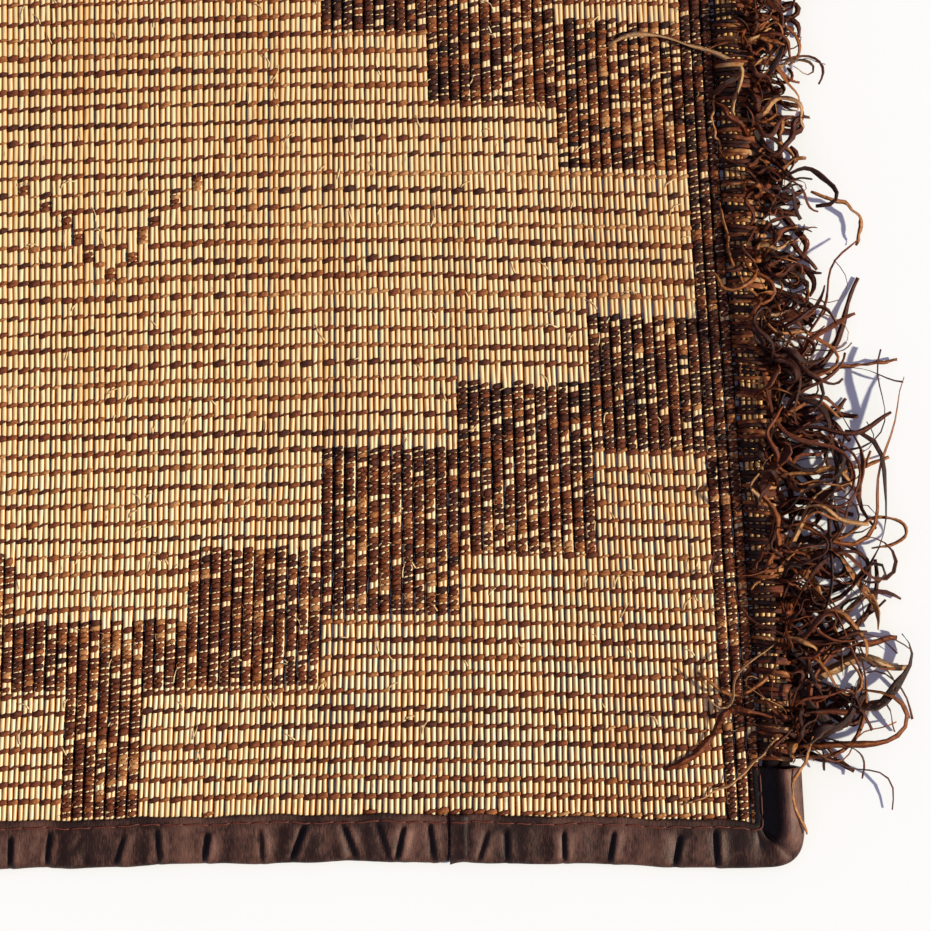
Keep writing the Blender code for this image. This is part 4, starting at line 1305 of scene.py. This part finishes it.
def bindings(end):
    """Name, stations, seed and lap of each strip of one end. The two strips of the lower end meet in a lap."""
    left = corner_centre(-1, end)[0] + STRAIGHT_INSET
    right = corner_centre(1, end)[0] - STRAIGHT_INSET
    first, last = reversed_stations(turn_corner(-1, end)), turn_corner(1, end)
    if end > 0:
        whole = joined([first, straight_stations(end, left, right, UPPER_STEP), last])
        return (("binding_upper", whole, 239, 0),)
    long_strip = joined([first, straight_stations(end, left, LAP_PLACE - GAP, LONG_STEP)])
    short_strip = joined([straight_stations(end, LAP_PLACE, right, SHORT_STEP), last])
    return (("binding_lower_left", long_strip, 211, -1), ("binding_lower_right", short_strip, 223, 1))


class GRASSMAT_OT_set_stage(bpy.types.Operator):
    """Sets the pale floor, the warm key and cool fill, and the camera above the mat's lower right corner"""

    bl_idname = "grassmat.set_stage"
    bl_label = "Set stage"

    def execute(self, context):
        stage = context.scene.grassmat_stage
        scene = context.scene
        make_floor(stage)
        world = bpy.data.worlds.new("cool_fill")
        world.use_nodes = True
        background = world.node_tree.nodes["Background"]
        background.inputs["Color"].default_value = stage.fill_colour
        background.inputs["Strength"].default_value = stage.fill_strength
        scene.world = world
        key = bpy.data.objects.new("warm_key", bpy.data.lights.new("warm_key", "SUN"))
        key.data.energy = stage.key_strength
        key.data.angle = stage.key_spread
        key.data.color = stage.key_colour[:3]
        key.rotation_euler = (0.0, math.pi / 2 - stage.key_elevation, -stage.key_turn)
        scene.collection.objects.link(key)
        camera = bpy.data.objects.new("camera", bpy.data.cameras.new("camera"))
        camera.data.lens = LENS
        camera.data.sensor_width = SENSOR
        camera.location = (*VIEW_MIDDLE, MAT_TOP + VIEW_WIDTH * LENS / SENSOR)
        scene.collection.objects.link(camera)
        scene.camera = camera
        scene.view_settings.view_transform = "Standard"
        return {"FINISHED"}


def make_floor(stage):
    """A flat pale floor, far wider than the mat: seamless painted board, matte, with a faint mottle."""
    material, tree, shader = new_material("painted_floor_board")
    place = node(tree, "TexCoord", out="Object")
    mottle = node(tree, "TexNoise", {"Vector": place, "Scale": 6.0})
    pale = tuple(stage.floor)
    darker = tuple(0.985 * c for c in pale[:3]) + (1.0,)
    shade = node(tree, "Mix", {0: mottle, 6: pale, 7: darker}, out=2, data_type="RGBA")
    tree.links.new(shade, shader.inputs["Base Color"])
    shader.inputs["Roughness"].default_value = 0.85
    shader.inputs["Specular IOR Level"].default_value = 0.2
    mesh = bpy.data.meshes.new("floor")
    corners = [(x * FLOOR_REACH, y * FLOOR_REACH, 0) for x, y in ((-1, -1), (1, -1), (1, 1), (-1, 1))]
    mesh.from_pydata(corners, [], [(0, 1, 2, 3)])
    mesh.materials.append(material)
    floor = bpy.data.objects.new("floor", mesh)
    bpy.context.scene.collection.objects.link(floor)


class GRASSMAT_PT_panel(bpy.types.Panel):
    """Lists the steps that make the mat"""

    bl_idname = "GRASSMAT_PT_panel"
    bl_label = "Grass and leather mat"
    bl_space_type = "VIEW_3D"
    bl_region_type = "UI"
    bl_category = "Mat"

    def draw(self, context):
        for step in STEPS:
            self.layout.operator(step.bl_idname)
        for group in ("grassmat_weave", "grassmat_leather", "grassmat_stage"):
            settings = getattr(context.scene, group)
            box = self.layout.box()
            for name in type(settings).__annotations__:
                box.prop(settings, name)


STEPS = (
    GRASSMAT_OT_lay_stalks,
    GRASSMAT_OT_twine_thongs,
    GRASSMAT_OT_wrap_pattern,
    GRASSMAT_OT_roll_sides,
    GRASSMAT_OT_hang_fringe,
    GRASSMAT_OT_fold_bindings,
    GRASSMAT_OT_set_stage,
)
GROUPS = {"grassmat_weave": MatWeave, "grassmat_leather": MatLeather, "grassmat_stage": MatStage}


def register():
    """Registers the property groups, the operators and the panel."""
    for name, group in GROUPS.items():
        bpy.utils.register_class(group)
        setattr(bpy.types.Scene, name, PointerProperty(type=group))
    for step in STEPS:
        bpy.utils.register_class(step)
    bpy.utils.register_class(GRASSMAT_PT_panel)


def unregister():
    """Takes back all that register added."""
    bpy.utils.unregister_class(GRASSMAT_PT_panel)
    for step in reversed(STEPS):
        bpy.utils.unregister_class(step)
    for name, group in reversed(GROUPS.items()):
        delattr(bpy.types.Scene, name)
        bpy.utils.unregister_class(group)


def main():
    register()
    for step in STEPS:
        group, name = step.bl_idname.split(".")
        getattr(getattr(bpy.ops, group), name)()
    on_it = ["splinters", "twining_top", "twining_under", "wraps_left", "wraps_right", "roll_left"]
    on_it += ["roll_right", "fringe_strips_left", "fringe_strips_right", "loose_thongs"]


if __name__ == "__main__":
    main()
